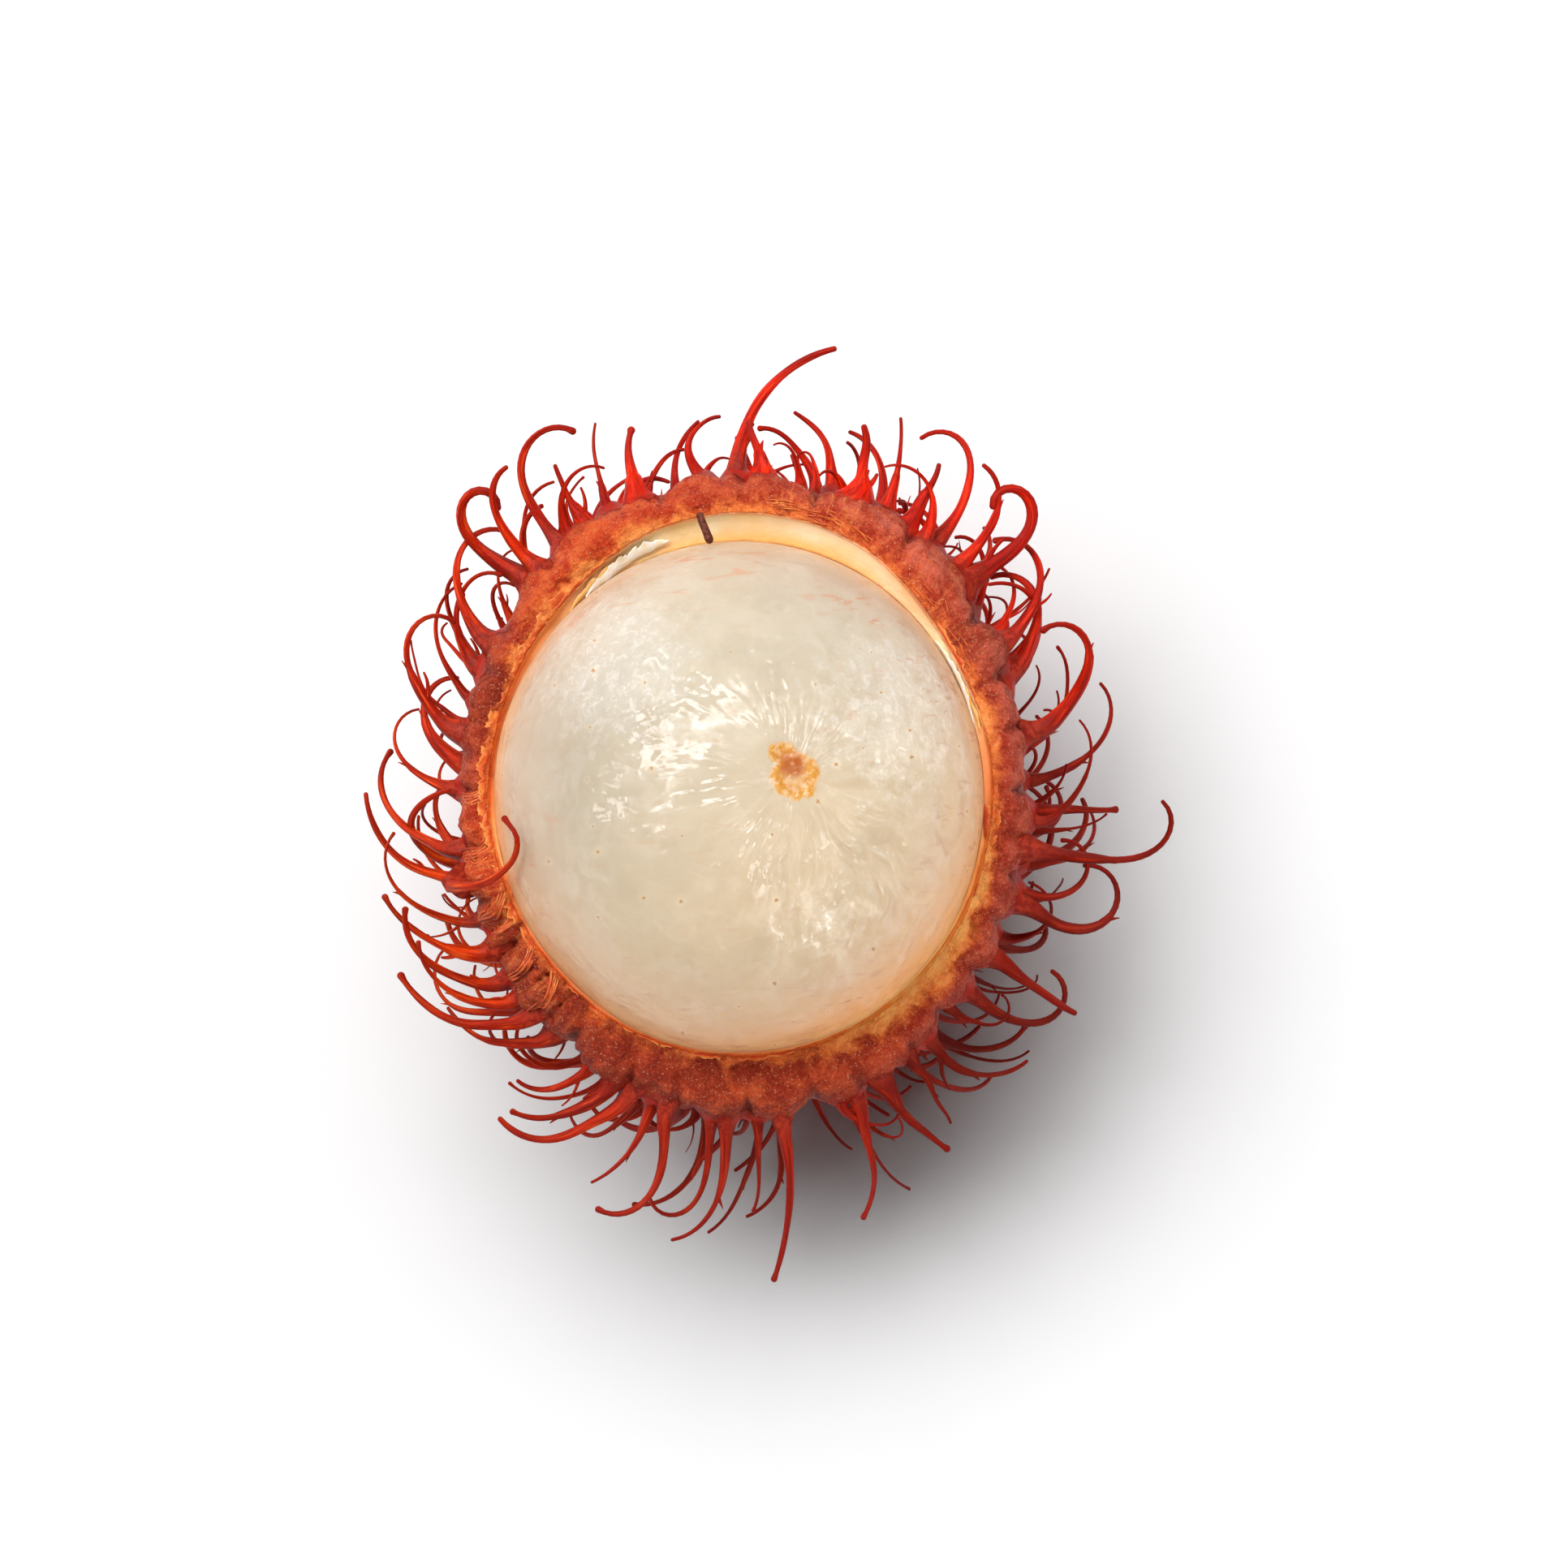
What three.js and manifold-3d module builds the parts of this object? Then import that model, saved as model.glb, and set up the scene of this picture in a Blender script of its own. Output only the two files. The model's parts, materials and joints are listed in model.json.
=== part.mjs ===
// A rambutan with the top half of its rind cut away: a cup of thick red rind, covered in soft curling spines,
// and the pale, translucent flesh that sits loose in it. Millimetres, Z up along the fruit's stem axis. The cup
// rests on a small flat spot under its blossom end, whose centre is the origin.
import * as THREE from "three";
import { mergeVertices } from "three/addons/utils/BufferGeometryUtils.js";
import Module from "manifold-3d";

const wasm = await Module();
wasm.setup();

// ---- driving dimensions, mm and degrees ----
const RIND = { halfX: 20, halfY: 22.2, halfZ: 22, centreZ: 21.2 }; // outside of the rind, before its bumps
const HOLLOW = { halfX: 17.6, halfY: 18.7, halfZ: 18.9, x: -0.2, y: 0.95, z: 22 }; // inside of the cup
const FLESH = { halfX: 16.9, halfY: 17.6, halfZ: 18.3, x: -0.5, y: 0.15, z: 22 };
const SCAR = { x: 3.35, y: 1.9, radius: 2, depth: 0.5 }; // where the seed was joined to its stalk
const RIM_HEIGHT = 24; // mean height of the cut edge, a little above the widest part of the flesh
const RIM_WAVES = [{ count: 2, height: 0.7, start: 40 }, { count: 5, height: 0.35, start: 110 }];
const RIM_BEVEL = { outerDrop: 1.3, outerIn: 0.7, innerIn: 0.7, innerDrop: 0.6 };
const RIND_COLUMNS = 60;
const OUTER_ROWS = 11;
const INNER_ROWS = 8;
const FLESH_COLUMNS = 36;
const FLESH_ROWS = 20;

const BUMP = { height: 0.75, spread: 1.5 }; // the swelling that each spine grows from
const SPINE_COUNT = 152; // ordinary spines on the whole cup, one to about 21 mm2 of rind
const SPINE_LOWEST = 0.9; // height of the lowest spine's root
const SPINE_BELOW_RIM = 1.7; // the highest root, measured down from the cut edge
const SPINE_SPACE = 2.6; // an ordinary spine gives way to a long one whose root is nearer than this
const SPINE_SIDES = 3;
const STEPS = 4; // straight lengths in an ordinary spine
const LONG_STEPS = 7;
const ROOT_DEPTH = 1; // how far a spine's root is sunk into the rind
const LEAN_END = 0.15; // the share of its length in which a spine takes up its lean
const TIGHTEN = 2.2; // how a stand-out spine's curl tightens towards its tip, unless it says otherwise
const SMALLEST_EDGE = 0.01; // slivers along the roots that are thinner than this are merged away
const FLOOR_GIVE = 0.5; // how softly a spine bends away from the surface that the fruit lies on
const GOLDEN_ANGLE = 137.508;

// The spines that stand out from the rest: where each grows, its lean from the surface's normal and its curl from
// root to tip, all in degrees anticlockwise as seen from above, its length, and how its curl tightens.
const SIDE_SPINES = [ // one on the -X side, and its mirror image on the +X side
  { azimuth: 112, lean: -12, curl: -26, length: 5.2, girth: 1.8 },
  { azimuth: 118, lean: -14, curl: -25, length: 6.9, girth: 0.8 },
  { azimuth: 123, lean: -3, curl: -18, length: 5, girth: 1.2 },
  { azimuth: 127, lean: -18, curl: -130, length: 7.6, girth: 0.8, tighten: 1.6 },
  { azimuth: 129, lean: -2, curl: -162, length: 12, girth: 1.1 },
  { azimuth: 135, lean: 0, curl: -105, length: 8.8, girth: 1.2 },
  { azimuth: 138, lean: 12, curl: -250, length: 11.6, girth: 1.5, tighten: 2.8 },
  { azimuth: 151, lean: -28, curl: -146, length: 11, girth: 0.9 },
  { azimuth: 156, lean: -40, curl: -145, length: 9.4, girth: 1.1 },
  { azimuth: 168, lean: -36, curl: -175, length: 12, girth: 1.3, tighten: 2.6 },
];
const OTHER_SPINES = [
  { azimuth: 87, lean: 16, curl: 5, length: 4, girth: 1.3 },
  { azimuth: 92, lean: -5, curl: -75, length: 12.3, girth: 1.2, tighten: 1.2 },
  { azimuth: 99, lean: 38, curl: -140, length: 6, girth: 0.9, tighten: 1.3 },
  { azimuth: 178, lean: -20, curl: -150, length: 9.5, girth: 0.8 },
  { azimuth: 189, lean: -35, curl: -100, length: 10.8, girth: 1.1 },
  { azimuth: 194, lean: -22, curl: -80, length: 10, girth: 1.1, tighten: 1.5 },
  { azimuth: 202, lean: -36, curl: -115, length: 10.8, girth: 0.8 },
  { azimuth: 208, lean: -30, curl: -60, length: 9, girth: 1.3, tighten: 1.2 },
  { azimuth: 214, lean: -38, curl: -85, length: 10.6, girth: 1.1, tighten: 1.5 },
  { azimuth: 218, lean: -35, curl: -85, length: 9.5, girth: 1, tighten: 1.5 },
  { azimuth: 222, lean: -28, curl: -75, length: 10.4, girth: 1.2, tighten: 1.5 },
  { azimuth: 227, lean: -36, curl: -65, length: 8.6, girth: 1, tighten: 1.5 },
  { azimuth: 237, lean: -24, curl: -70, length: 5.5, girth: 0.9 },
  { azimuth: 242, lean: -20, curl: -65, length: 7.6, girth: 1.3, tighten: 1.5 },
  { azimuth: 246, lean: -28, curl: -85, length: 10.4, girth: 1.3 },
  { azimuth: 251, lean: -2, curl: -48, length: 7.2, girth: 1 },
  { azimuth: 254, lean: 22, curl: -125, length: 10.2, girth: 1.1 },
  { azimuth: 263, lean: 7, curl: -165, length: 10.4, girth: 0.9, tighten: 2.8 },
  { azimuth: 266, lean: 5, curl: -80, length: 10, girth: 1.1 },
  { azimuth: 272, lean: 4, curl: -30, length: 6.4, girth: 0.8 },
  { azimuth: 277, lean: 5, curl: -30, length: 11.8, girth: 1.2, tighten: 1.2 },
  { azimuth: 289, lean: 28, curl: 110, length: 5, girth: 0.8 },
  { azimuth: 292, lean: -10, curl: -55, length: 8.7, girth: 1.2, tighten: 3 },
  { azimuth: 298, lean: 6, curl: 28, length: 6.4, girth: 1.5 },
  { azimuth: 305, lean: -2, curl: -20, length: 5, girth: 0.9 },
  { azimuth: 310, lean: -6, curl: 100, length: 7.6, girth: 1.2, tighten: 1.3 },
  { azimuth: 322, lean: -9, curl: 195, length: 10, girth: 1.2, tighten: 1.8 },
  { azimuth: 330, lean: -12, curl: 14, length: 6.4, girth: 1.4 },
  { azimuth: 341, lean: -32, curl: 240, length: 12, girth: 1.2, tighten: 1.6 },
  { azimuth: 343, lean: -1, curl: 200, length: 8.4, girth: 0.8, tighten: 1.6 },
  { azimuth: 351, lean: -4, curl: 145, length: 12.5, girth: 1.3, tighten: 2.8 },
  { azimuth: 356, lean: 46, curl: 95, length: 9.3, girth: 0.7 },
  { azimuth: 358, lean: 2, curl: 5, length: 5.5, girth: 0.9 },
];
const LONG_SPINES = [
  ...OTHER_SPINES,
  ...SIDE_SPINES,
  ...SIDE_SPINES.map((left) => ({ ...left, azimuth: 180 - left.azimuth, lean: -left.lean, curl: -left.curl })),
];
const LONG_DROP = [1.9, 3.8]; // how far below the cut edge they grow
const LONG_TILT = 28; // how far out of level they may curl

// The one spine that curls in over the cut edge and lies against the flesh.
const RIM_HOOK = {
  girth: 0.9,
  path: [
    [-18.9, -5.5, 22.5], [-20.3, -5.8, 24.2], [-19.4, -5.9, 26.4], [-17.4, -5.5, 28.6],
    [-15.6, -4.1, 30.9], [-15.2, -2.5, 32.1], [-16.1, -1.2, 31.6],
  ],
};

// Radius along a spine as [share of its length, radius]: a broad foot, a slim shaft and a blunt tip.
const SPINE_RADII = [[0, 1.2], [0.12, 0.78], [0.28, 0.48], [0.55, 0.37], [1, 0.22]];

// ---- helpers ----
const UP = new THREE.Vector3(0, 0, 1);
const radians = THREE.MathUtils.degToRad;

// The same number from 0 to 1 each time for the same item and draw.
function chance(item, draw) {
  const value = Math.sin(item * 127.1 + draw * 311.7) * 43758.5453;
  return value - Math.floor(value);
}

function between(low, high, item, draw) {
  return low + (high - low) * chance(item, draw);
}

function toManifold(geometry) {
  const bare = geometry.clone();
  bare.deleteAttribute("normal");
  bare.deleteAttribute("uv");
  const merged = mergeVertices(bare, 1e-4);
  return new wasm.Manifold(new wasm.Mesh({
    numProp: 3,
    vertProperties: merged.attributes.position.array,
    triVerts: new Uint32Array(merged.index.array),
  }));
}

function toGeometry(manifold) {
  const { vertProperties, triVerts, numProp } = manifold.getMesh();
  const stored = new THREE.InterleavedBuffer(vertProperties, numProp);
  const geometry = new THREE.BufferGeometry();
  geometry.setAttribute("position", new THREE.InterleavedBufferAttribute(stored, 3, 0));
  geometry.setIndex(new THREE.BufferAttribute(triVerts, 1));
  const flat = geometry.toNonIndexed();
  flat.computeVertexNormals();
  return flat;
}

// Moves every vertex of a geometry to move(vertex, index).
function reshape(geometry, move) {
  const position = geometry.attributes.position;
  const vertex = new THREE.Vector3();
  for (let i = 0; i < position.count; i++) {
    const moved = move(vertex.fromBufferAttribute(position, i), i);
    position.setXYZ(i, moved.x, moved.y, moved.z);
  }
  return geometry;
}

// ---- the rind's surfaces ----
function rimHeight(azimuth) {
  return RIM_WAVES.reduce(
    (height, wave) => height + wave.height * Math.sin(wave.count * azimuth + radians(wave.start)),
    RIM_HEIGHT,
  );
}

// A point of the rind's outside, without bumps, at an azimuth in radians and a height.
function outside(azimuth, z) {
  const share = Math.sqrt(Math.max(0, 1 - ((z - RIND.centreZ) / RIND.halfZ) ** 2));
  return new THREE.Vector3(RIND.halfX * share * Math.cos(azimuth), RIND.halfY * share * Math.sin(azimuth), z);
}

function outsideNormal(point) {
  return new THREE.Vector3(
    point.x / RIND.halfX ** 2,
    point.y / RIND.halfY ** 2,
    (point.z - RIND.centreZ) / RIND.halfZ ** 2,
  ).normalize();
}

function inside(azimuth, z) {
  const share = Math.sqrt(Math.max(0, 1 - ((z - HOLLOW.z) / HOLLOW.halfZ) ** 2));
  return new THREE.Vector3(
    HOLLOW.x + HOLLOW.halfX * share * Math.cos(azimuth),
    HOLLOW.y + HOLLOW.halfY * share * Math.sin(azimuth),
    z,
  );
}

function outward(point, distance) {
  return point.addScaledVector(new THREE.Vector3(point.x, point.y, 0).normalize(), distance);
}

// ---- spines ----
// A spine that grows from the rind's outside and curls about an axis that is tilted from upright.
function makeSpine({ azimuth, z, lean, curl, tighten, tilt, length, girth, floor, steps }) {
  const root = outside(azimuth, z);
  const normal = outsideNormal(root);
  const axis = UP.clone().addScaledVector(normal, -normal.z).normalize().applyAxisAngle(normal, radians(tilt));
  return { root, normal, axis, lean: radians(lean), curl: radians(curl), tighten, length, girth, floor, steps };
}

function longSpine(stated, i) {
  const azimuth = radians(stated.azimuth);
  const z = rimHeight(azimuth) - between(...LONG_DROP, i, 8);
  const tilt = between(-LONG_TILT, LONG_TILT, i, 10);
  return makeSpine({ tighten: TIGHTEN, ...stated, azimuth, z, tilt, floor: 0.7, steps: LONG_STEPS });
}

// The rest stand in a spiral, evenly over the cup. On the two sides they sweep round to +Y, and underneath to -X.
function ordinarySpine(i) {
  const azimuth = radians(i * GOLDEN_ANGLE + between(-6, 6, i, 1));
  const highest = rimHeight(azimuth) - SPINE_BELOW_RIM;
  const z = THREE.MathUtils.lerp(SPINE_LOWEST, highest, (i + 0.5) / SPINE_COUNT);
  const pull = Math.cos(azimuth) - 0.25 * Math.max(0, -Math.sin(azimuth));
  return makeSpine({
    azimuth,
    z,
    lean: 34 * pull + between(-16, 16, i, 2),
    curl: Math.sign(pull) * (50 + 90 * Math.abs(pull)) * between(0.6, 1.3, i, 3),
    tighten: between(1.3, 2.6, i, 9),
    tilt: between(-50, 50, i, 4),
    length: between(7.5, 11.5, i, 5) * (1 - 0.35 * Math.max(0, Math.sin(azimuth)) ** 4),
    girth: between(0.75, 1.15, i, 6),
    floor: Math.min(between(0.6, 2.2, i, 7), 0.7 * z),
    steps: STEPS,
  });
}

function rimHook() {
  const path = RIM_HOOK.path.map((point) => new THREE.Vector3(...point));
  return { root: path[1], axis: UP, girth: RIM_HOOK.girth, steps: LONG_STEPS, path };
}

const longSpines = [...LONG_SPINES.map(longSpine), rimHook()];
const spines = [
  ...longSpines,
  ...Array.from({ length: SPINE_COUNT }, (_, i) => ordinarySpine(i))
    .filter((spine) => longSpines.every((long) => long.root.distanceTo(spine.root) > SPINE_SPACE)),
];

// The line that a spine follows, from its sunk root to its tip, bent clear of the surface under the fruit.
function spineCurve({ root, normal, axis, lean, curl, tighten, length, floor, path }) {
  if (path) return new THREE.CatmullRomCurve3(path);
  const pieces = 24;
  const points = [root.clone().addScaledVector(normal, -ROOT_DEPTH), root.clone()];
  for (let i = 0; i < pieces; i++) {
    const share = (i + 0.5) / pieces;
    const angle = lean * Math.min(1, share / LEAN_END) + curl * share ** tighten;
    const step = normal.clone().applyAxisAngle(axis, angle).multiplyScalar(length / pieces);
    points.push(points.at(-1).clone().add(step));
  }
  for (const point of points) {
    point.z = floor + FLOOR_GIVE * Math.log1p(Math.exp((point.z - floor) / FLOOR_GIVE));
  }
  return new THREE.CatmullRomCurve3(points);
}

function spineRadius(share) {
  const next = SPINE_RADII.findIndex(([at]) => at >= share);
  if (next <= 0) return SPINE_RADII[0][1];
  const [[from, thick], [to, thin]] = [SPINE_RADII[next - 1], SPINE_RADII[next]];
  return THREE.MathUtils.mapLinear(share, from, to, thick, thin);
}

// A tapered rod bent along a spine's line.
function spineSolid(spine) {
  const curve = spineCurve(spine);
  const rod = new THREE.CylinderGeometry(1, 1, 1, SPINE_SIDES, spine.steps);
  return toManifold(reshape(rod, ({ x, y, z }) => {
    const share = y + 0.5;
    const along = curve.getTangentAt(share);
    const side = spine.axis.clone().addScaledVector(along, -spine.axis.dot(along)).normalize();
    const front = side.clone().cross(along);
    const radius = spineRadius(share) * spine.girth;
    return curve.getPointAt(share).addScaledVector(side, x * radius).addScaledVector(front, z * radius);
  }));
}

// ---- the rind ----
function bumpHeight(point) {
  return spines.reduce(
    (height, { root }) => height + BUMP.height * Math.exp(-root.distanceToSquared(point) / BUMP.spread ** 2),
    0,
  );
}

// The rows of the rind's section, from the middle of its foot, up the outside, over the cut edge and down the inside.
const RIND_ROWS = [
  () => new THREE.Vector3(),
  (azimuth) => outside(azimuth, 0),
  ...Array.from({ length: OUTER_ROWS }, (_, i) => (azimuth) => {
    const top = rimHeight(azimuth) - RIM_BEVEL.outerDrop;
    const lowest = Math.asin(-RIND.centreZ / RIND.halfZ);
    const highest = Math.asin((top - RIND.centreZ) / RIND.halfZ);
    const rise = THREE.MathUtils.lerp(lowest, highest, (i + 1) / OUTER_ROWS);
    const point = outside(azimuth, RIND.centreZ + RIND.halfZ * Math.sin(rise));
    return point.addScaledVector(outsideNormal(point), bumpHeight(point));
  }),
  (azimuth) => {
    const edge = outside(azimuth, rimHeight(azimuth));
    return outward(edge, bumpHeight(edge) - RIM_BEVEL.outerIn);
  },
  (azimuth) => outward(inside(azimuth, rimHeight(azimuth)), RIM_BEVEL.innerIn),
  ...Array.from({ length: INNER_ROWS }, (_, i) => (azimuth) => {
    const top = rimHeight(azimuth) - RIM_BEVEL.innerDrop;
    const highest = Math.asin((top - HOLLOW.z) / HOLLOW.halfZ);
    const rise = THREE.MathUtils.lerp(highest, -Math.PI / 2, i / (INNER_ROWS - 1));
    return inside(azimuth, HOLLOW.z + HOLLOW.halfZ * Math.sin(rise));
  }),
];

function makeRind() {
  const rows = RIND_ROWS.length;
  // Only the way the lathe joins its points is used: each vertex is then set by its row and its column.
  const section = RIND_ROWS.map((_, row) => new THREE.Vector2(row === 0 || row === rows - 1 ? 0 : 1, row));
  const cup = new THREE.LatheGeometry(section, RIND_COLUMNS);
  reshape(cup, (_, index) => {
    const column = Math.floor(index / rows) % RIND_COLUMNS;
    return RIND_ROWS[index % rows]((2 * Math.PI * column) / RIND_COLUMNS);
  });
  return wasm.Manifold.union([toManifold(cup), ...spines.map(spineSolid)]).simplify(SMALLEST_EDGE);
}

// ---- the flesh ----
function makeFlesh() {
  const ball = new THREE.SphereGeometry(1, FLESH_COLUMNS, FLESH_ROWS);
  ball.scale(FLESH.halfX, FLESH.halfZ, FLESH.halfY);
  ball.rotateX(Math.PI / 2);
  ball.translate(FLESH.x, FLESH.y, FLESH.z);
  const away = 1 - ((SCAR.x - FLESH.x) / FLESH.halfX) ** 2 - ((SCAR.y - FLESH.y) / FLESH.halfY) ** 2;
  const dimple = new THREE.SphereGeometry(SCAR.radius, 12, 8);
  dimple.translate(SCAR.x, SCAR.y, FLESH.z + FLESH.halfZ * Math.sqrt(away) + SCAR.radius - SCAR.depth);
  return toManifold(ball).subtract(toManifold(dimple));
}

function makeMesh(name, manifold, color, roughness) {
  const mesh = new THREE.Mesh(
    toGeometry(manifold),
    new THREE.MeshStandardMaterial({ color, roughness, metalness: 0 }),
  );
  mesh.name = name;
  return mesh;
}

const model = new THREE.Group();
model.add(makeMesh("rind", makeRind(), 0xa8301c, 0.55));
model.add(makeMesh("flesh", makeFlesh(), 0xeadfc8, 0.3));

export default model;
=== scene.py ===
import json
import math
from dataclasses import dataclass

import bpy
import numpy as np
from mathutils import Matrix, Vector, noise

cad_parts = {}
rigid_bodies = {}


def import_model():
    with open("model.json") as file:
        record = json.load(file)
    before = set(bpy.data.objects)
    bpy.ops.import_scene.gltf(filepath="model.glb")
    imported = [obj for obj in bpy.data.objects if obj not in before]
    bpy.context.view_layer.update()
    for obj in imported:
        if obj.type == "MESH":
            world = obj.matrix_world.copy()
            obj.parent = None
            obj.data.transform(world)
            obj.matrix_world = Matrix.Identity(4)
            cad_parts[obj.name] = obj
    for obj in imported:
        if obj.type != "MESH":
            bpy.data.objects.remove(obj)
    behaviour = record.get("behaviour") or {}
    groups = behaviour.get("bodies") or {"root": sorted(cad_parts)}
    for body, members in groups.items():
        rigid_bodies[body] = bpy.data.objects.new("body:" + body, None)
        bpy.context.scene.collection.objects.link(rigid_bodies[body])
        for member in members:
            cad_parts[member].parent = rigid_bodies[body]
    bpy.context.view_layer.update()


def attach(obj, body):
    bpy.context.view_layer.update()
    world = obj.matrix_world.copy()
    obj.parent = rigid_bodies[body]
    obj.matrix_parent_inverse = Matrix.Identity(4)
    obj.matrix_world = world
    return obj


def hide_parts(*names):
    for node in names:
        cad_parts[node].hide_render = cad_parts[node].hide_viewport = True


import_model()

MM = 0.001
UP = np.array([0.0, 0.0, 1.0])


# ---- shapes that the construction fixes ----
@dataclass
class Ellipsoid:
    """An upright ellipsoid by its centre and its half axes."""
    centre: tuple
    half: tuple

    def at(self, azimuth, z):
        """The point of its surface at an azimuth in radians and a height."""
        share = np.sqrt(np.maximum(0, 1 - ((z - self.centre[2]) / self.half[2]) ** 2))
        x = self.centre[0] + self.half[0] * share * np.cos(azimuth)
        y = self.centre[1] + self.half[1] * share * np.sin(azimuth)
        return np.stack(np.broadcast_arrays(x, y, z), axis=-1).astype(float)

    def normal(self, points):
        return unit((points - np.array(self.centre)) / np.array(self.half) ** 2)


RIND = Ellipsoid((0, 0, 21.2), (20, 22.2, 22))
HOLLOW = Ellipsoid((-0.2, 0.95, 22), (17.6, 18.7, 18.9))
FLESH = Ellipsoid((-0.5, 0.15, 22), (16.9, 17.6, 18.3))
RIM_HEIGHT = 24
RIM_WAVES = [(2, 0.7, 40), (5, 0.35, 110)]  # count, height, start
RIM_OUTER_DROP = 1.3
RIM_IN = 0.7
RIM_INNER_DROP = 0.6
BUMP_HEIGHT = 0.95
BUMP_SPREAD = 1.3

SPINE_COUNT = 152
SPINE_LOWEST = 0.9
SPINE_BELOW_RIM = 1.7
SPINE_SPACE = 2.6
ROOT_DEPTH = 1
LEAN_END = 0.15
TIGHTEN = 2.2  # how fast a spine's curl tightens towards its tip, where nothing else is said
FLOOR_GIVE = 0.5
GOLDEN_ANGLE = 137.508
FINE_SPINE_COUNT = 240  # tried for; the ones that would crowd another spine are left out
FINE_SPINE_LOWEST = 2.6
FINE_SPINE_BELOW_RIM = 2.2
FINE_SPINE_SPACE = 1.75
LONG_DROP = (1.9, 3.8)
LONG_TILT = 28
LONG_FLOOR = 0.7

# The spines that stand out: azimuth, lean, curl, length, girth and, where it isn't TIGHTEN, how fast the curl
# tightens towards the tip.
SIDE_SPINES = [  # one on the -X side, and its mirror image on the +X side
    (112, -12, -26, 5.2, 1.8), (118, -14, -25, 6.9, 0.8), (123, -3, -18, 5, 1.2),
    (127, -18, -130, 7.6, 0.8, 1.6), (129, -2, -162, 12, 1.1), (135, 0, -105, 8.8, 1.2),
    (138, 12, -250, 11.6, 1.5, 2.8), (151, -28, -146, 11, 0.9), (156, -40, -145, 9.4, 1.1),
    (168, -36, -175, 12, 1.3, 2.6),
]
OTHER_SPINES = [
    (87, 16, 5, 4, 1.3), (92, -5, -75, 12.3, 1.2, 1.2), (99, 38, -140, 6, 0.9, 1.3),
    (178, -20, -150, 9.5, 0.8), (189, -35, -100, 10.8, 1.1), (194, -22, -80, 10, 1.1, 1.5),
    (202, -36, -115, 10.8, 0.8), (208, -30, -60, 9, 1.3, 1.2), (214, -38, -85, 10.6, 1.1, 1.5),
    (218, -35, -85, 9.5, 1, 1.5), (222, -28, -75, 10.4, 1.2, 1.5), (227, -36, -65, 8.6, 1, 1.5),
    (237, -24, -70, 5.5, 0.9), (242, -20, -65, 7.6, 1.3, 1.5), (246, -28, -85, 10.4, 1.3),
    (251, -2, -48, 7.2, 1), (254, 22, -125, 10.2, 1.1), (263, 7, -165, 10.4, 0.9, 2.8),
    (266, 5, -80, 10, 1.1), (272, 4, -30, 6.4, 0.8), (277, 5, -34, 11.2, 1.2, 1.2),
    (289, 28, 110, 5, 0.8), (292, -10, -55, 8.7, 1.2, 3), (298, 6, 28, 6.4, 1.5),
    (305, -2, -20, 5, 0.9), (310, -6, 100, 7.6, 1.2, 1.3), (322, -9, 195, 10, 1.2, 1.8),
    (330, -12, 14, 6.4, 1.4), (341, -32, 240, 12, 1.2, 1.6), (343, -1, 200, 8.4, 0.8, 1.6),
    (351, -4, 145, 12.5, 1.3, 2.8), (356, 46, 95, 9.3, 0.7), (358, 2, 5, 5.5, 0.9),
]
LONG_SPINES = OTHER_SPINES + SIDE_SPINES + [
    (180 - azimuth, -lean, -curl, *rest) for azimuth, lean, curl, *rest in SIDE_SPINES
]
RIM_HOOK_GIRTH = 0.9
RIM_HOOK_PATH = [
    (-18.9, -5.5, 22.5), (-20.3, -5.8, 24.2), (-19.4, -5.9, 26.4), (-17.4, -5.5, 28.6),
    (-15.6, -4.1, 30.9), (-15.2, -2.5, 32.1), (-16.1, -1.2, 31.6),
]

# ---- finer shapes ----
RIND_COLUMNS = 600
OUTER_ROWS = 72
LIP_ROWS = 10  # over the outer edge of the cut, and again over its inner edge
CUT_ROWS = 40
LINING_ROWS = 24

SPINE_PIECES = 48
SPINE_RINGS = 30
SPINE_SIDES = 12
# Radius along a spine as (share of its length, radius).
SPINE_RADII = [(0, 0.40), (0.15, 0.37), (0.3, 0.31), (0.5, 0.25), (0.8, 0.19), (1, 0.15)]
SPINE_FLARE = 0.5  # how much wider a spine is where it leaves the skin
FLARE_START = 1.3  # from a spine's sunk end to where it leaves the skin
FLARE_LENGTH = 1.0
TIP_RINGS = 4

# Where one lobe of the cut edge ends and the next begins, in degrees.
LOBE_EDGES = [2, 15, 26, 38, 58, 77, 91, 106, 130, 145, 154, 164, 178, 190, 201, 212, 218, 225, 234, 247,
              257, 270, 283, 292, 304, 312, 323, 334, 344, 352]
LOBE_HEIGHT = 0.32
# Lumps and hollows of the cut: azimuth, how far over it from the skin to the lining, sizes around and across,
# height.
CUT_LUMPS = [
    (98, 0.12, 2.6, 0.8, 0.3), (80, 0.08, 0.7, 0.6, -0.5), (24, 0.1, 1.4, 0.6, -0.45),
    (43, 0.05, 1.2, 0.6, -0.4), (212, 0.4, 0.8, 1.3, -1.0), (241, 0.25, 1.5, 1.0, 0.55),
    (251, 0.2, 1.5, 0.9, -0.6), (248, 0.75, 1.0, 0.7, -0.3), (215.5, 0.5, 0.5, 1.6, 0.35),
    (222, 0.6, 0.55, 1.4, 0.4), (188, 0.5, 1.6, 1.2, 0.3), (68, 0.8, 2.4, 0.5, -0.35),
    (125, 0.7, 1.2, 0.7, 0.3), (160, 0.4, 1.3, 1.0, 0.35), (300, 0.4, 1.5, 1.0, 0.25),
    (330, 0.3, 1.5, 0.9, 0.3),
]
CUT_BELOW = 2.6  # how far down the outside the cut flesh shows
CUT_WIDTH = 3.6  # from the skin over the cut to the lining
END_SECTIONS = [-3.2, 2.1]  # the attribute section at the cup's foot and at its inner lowest point
GROOVE_DEPTH = 0.2  # from the cut edge down to where the lining meets the flesh, where nothing else is said
SLIMMING = 0.25  # how far the rind stays inside its plain ellipsoid, where nothing else is said
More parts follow.
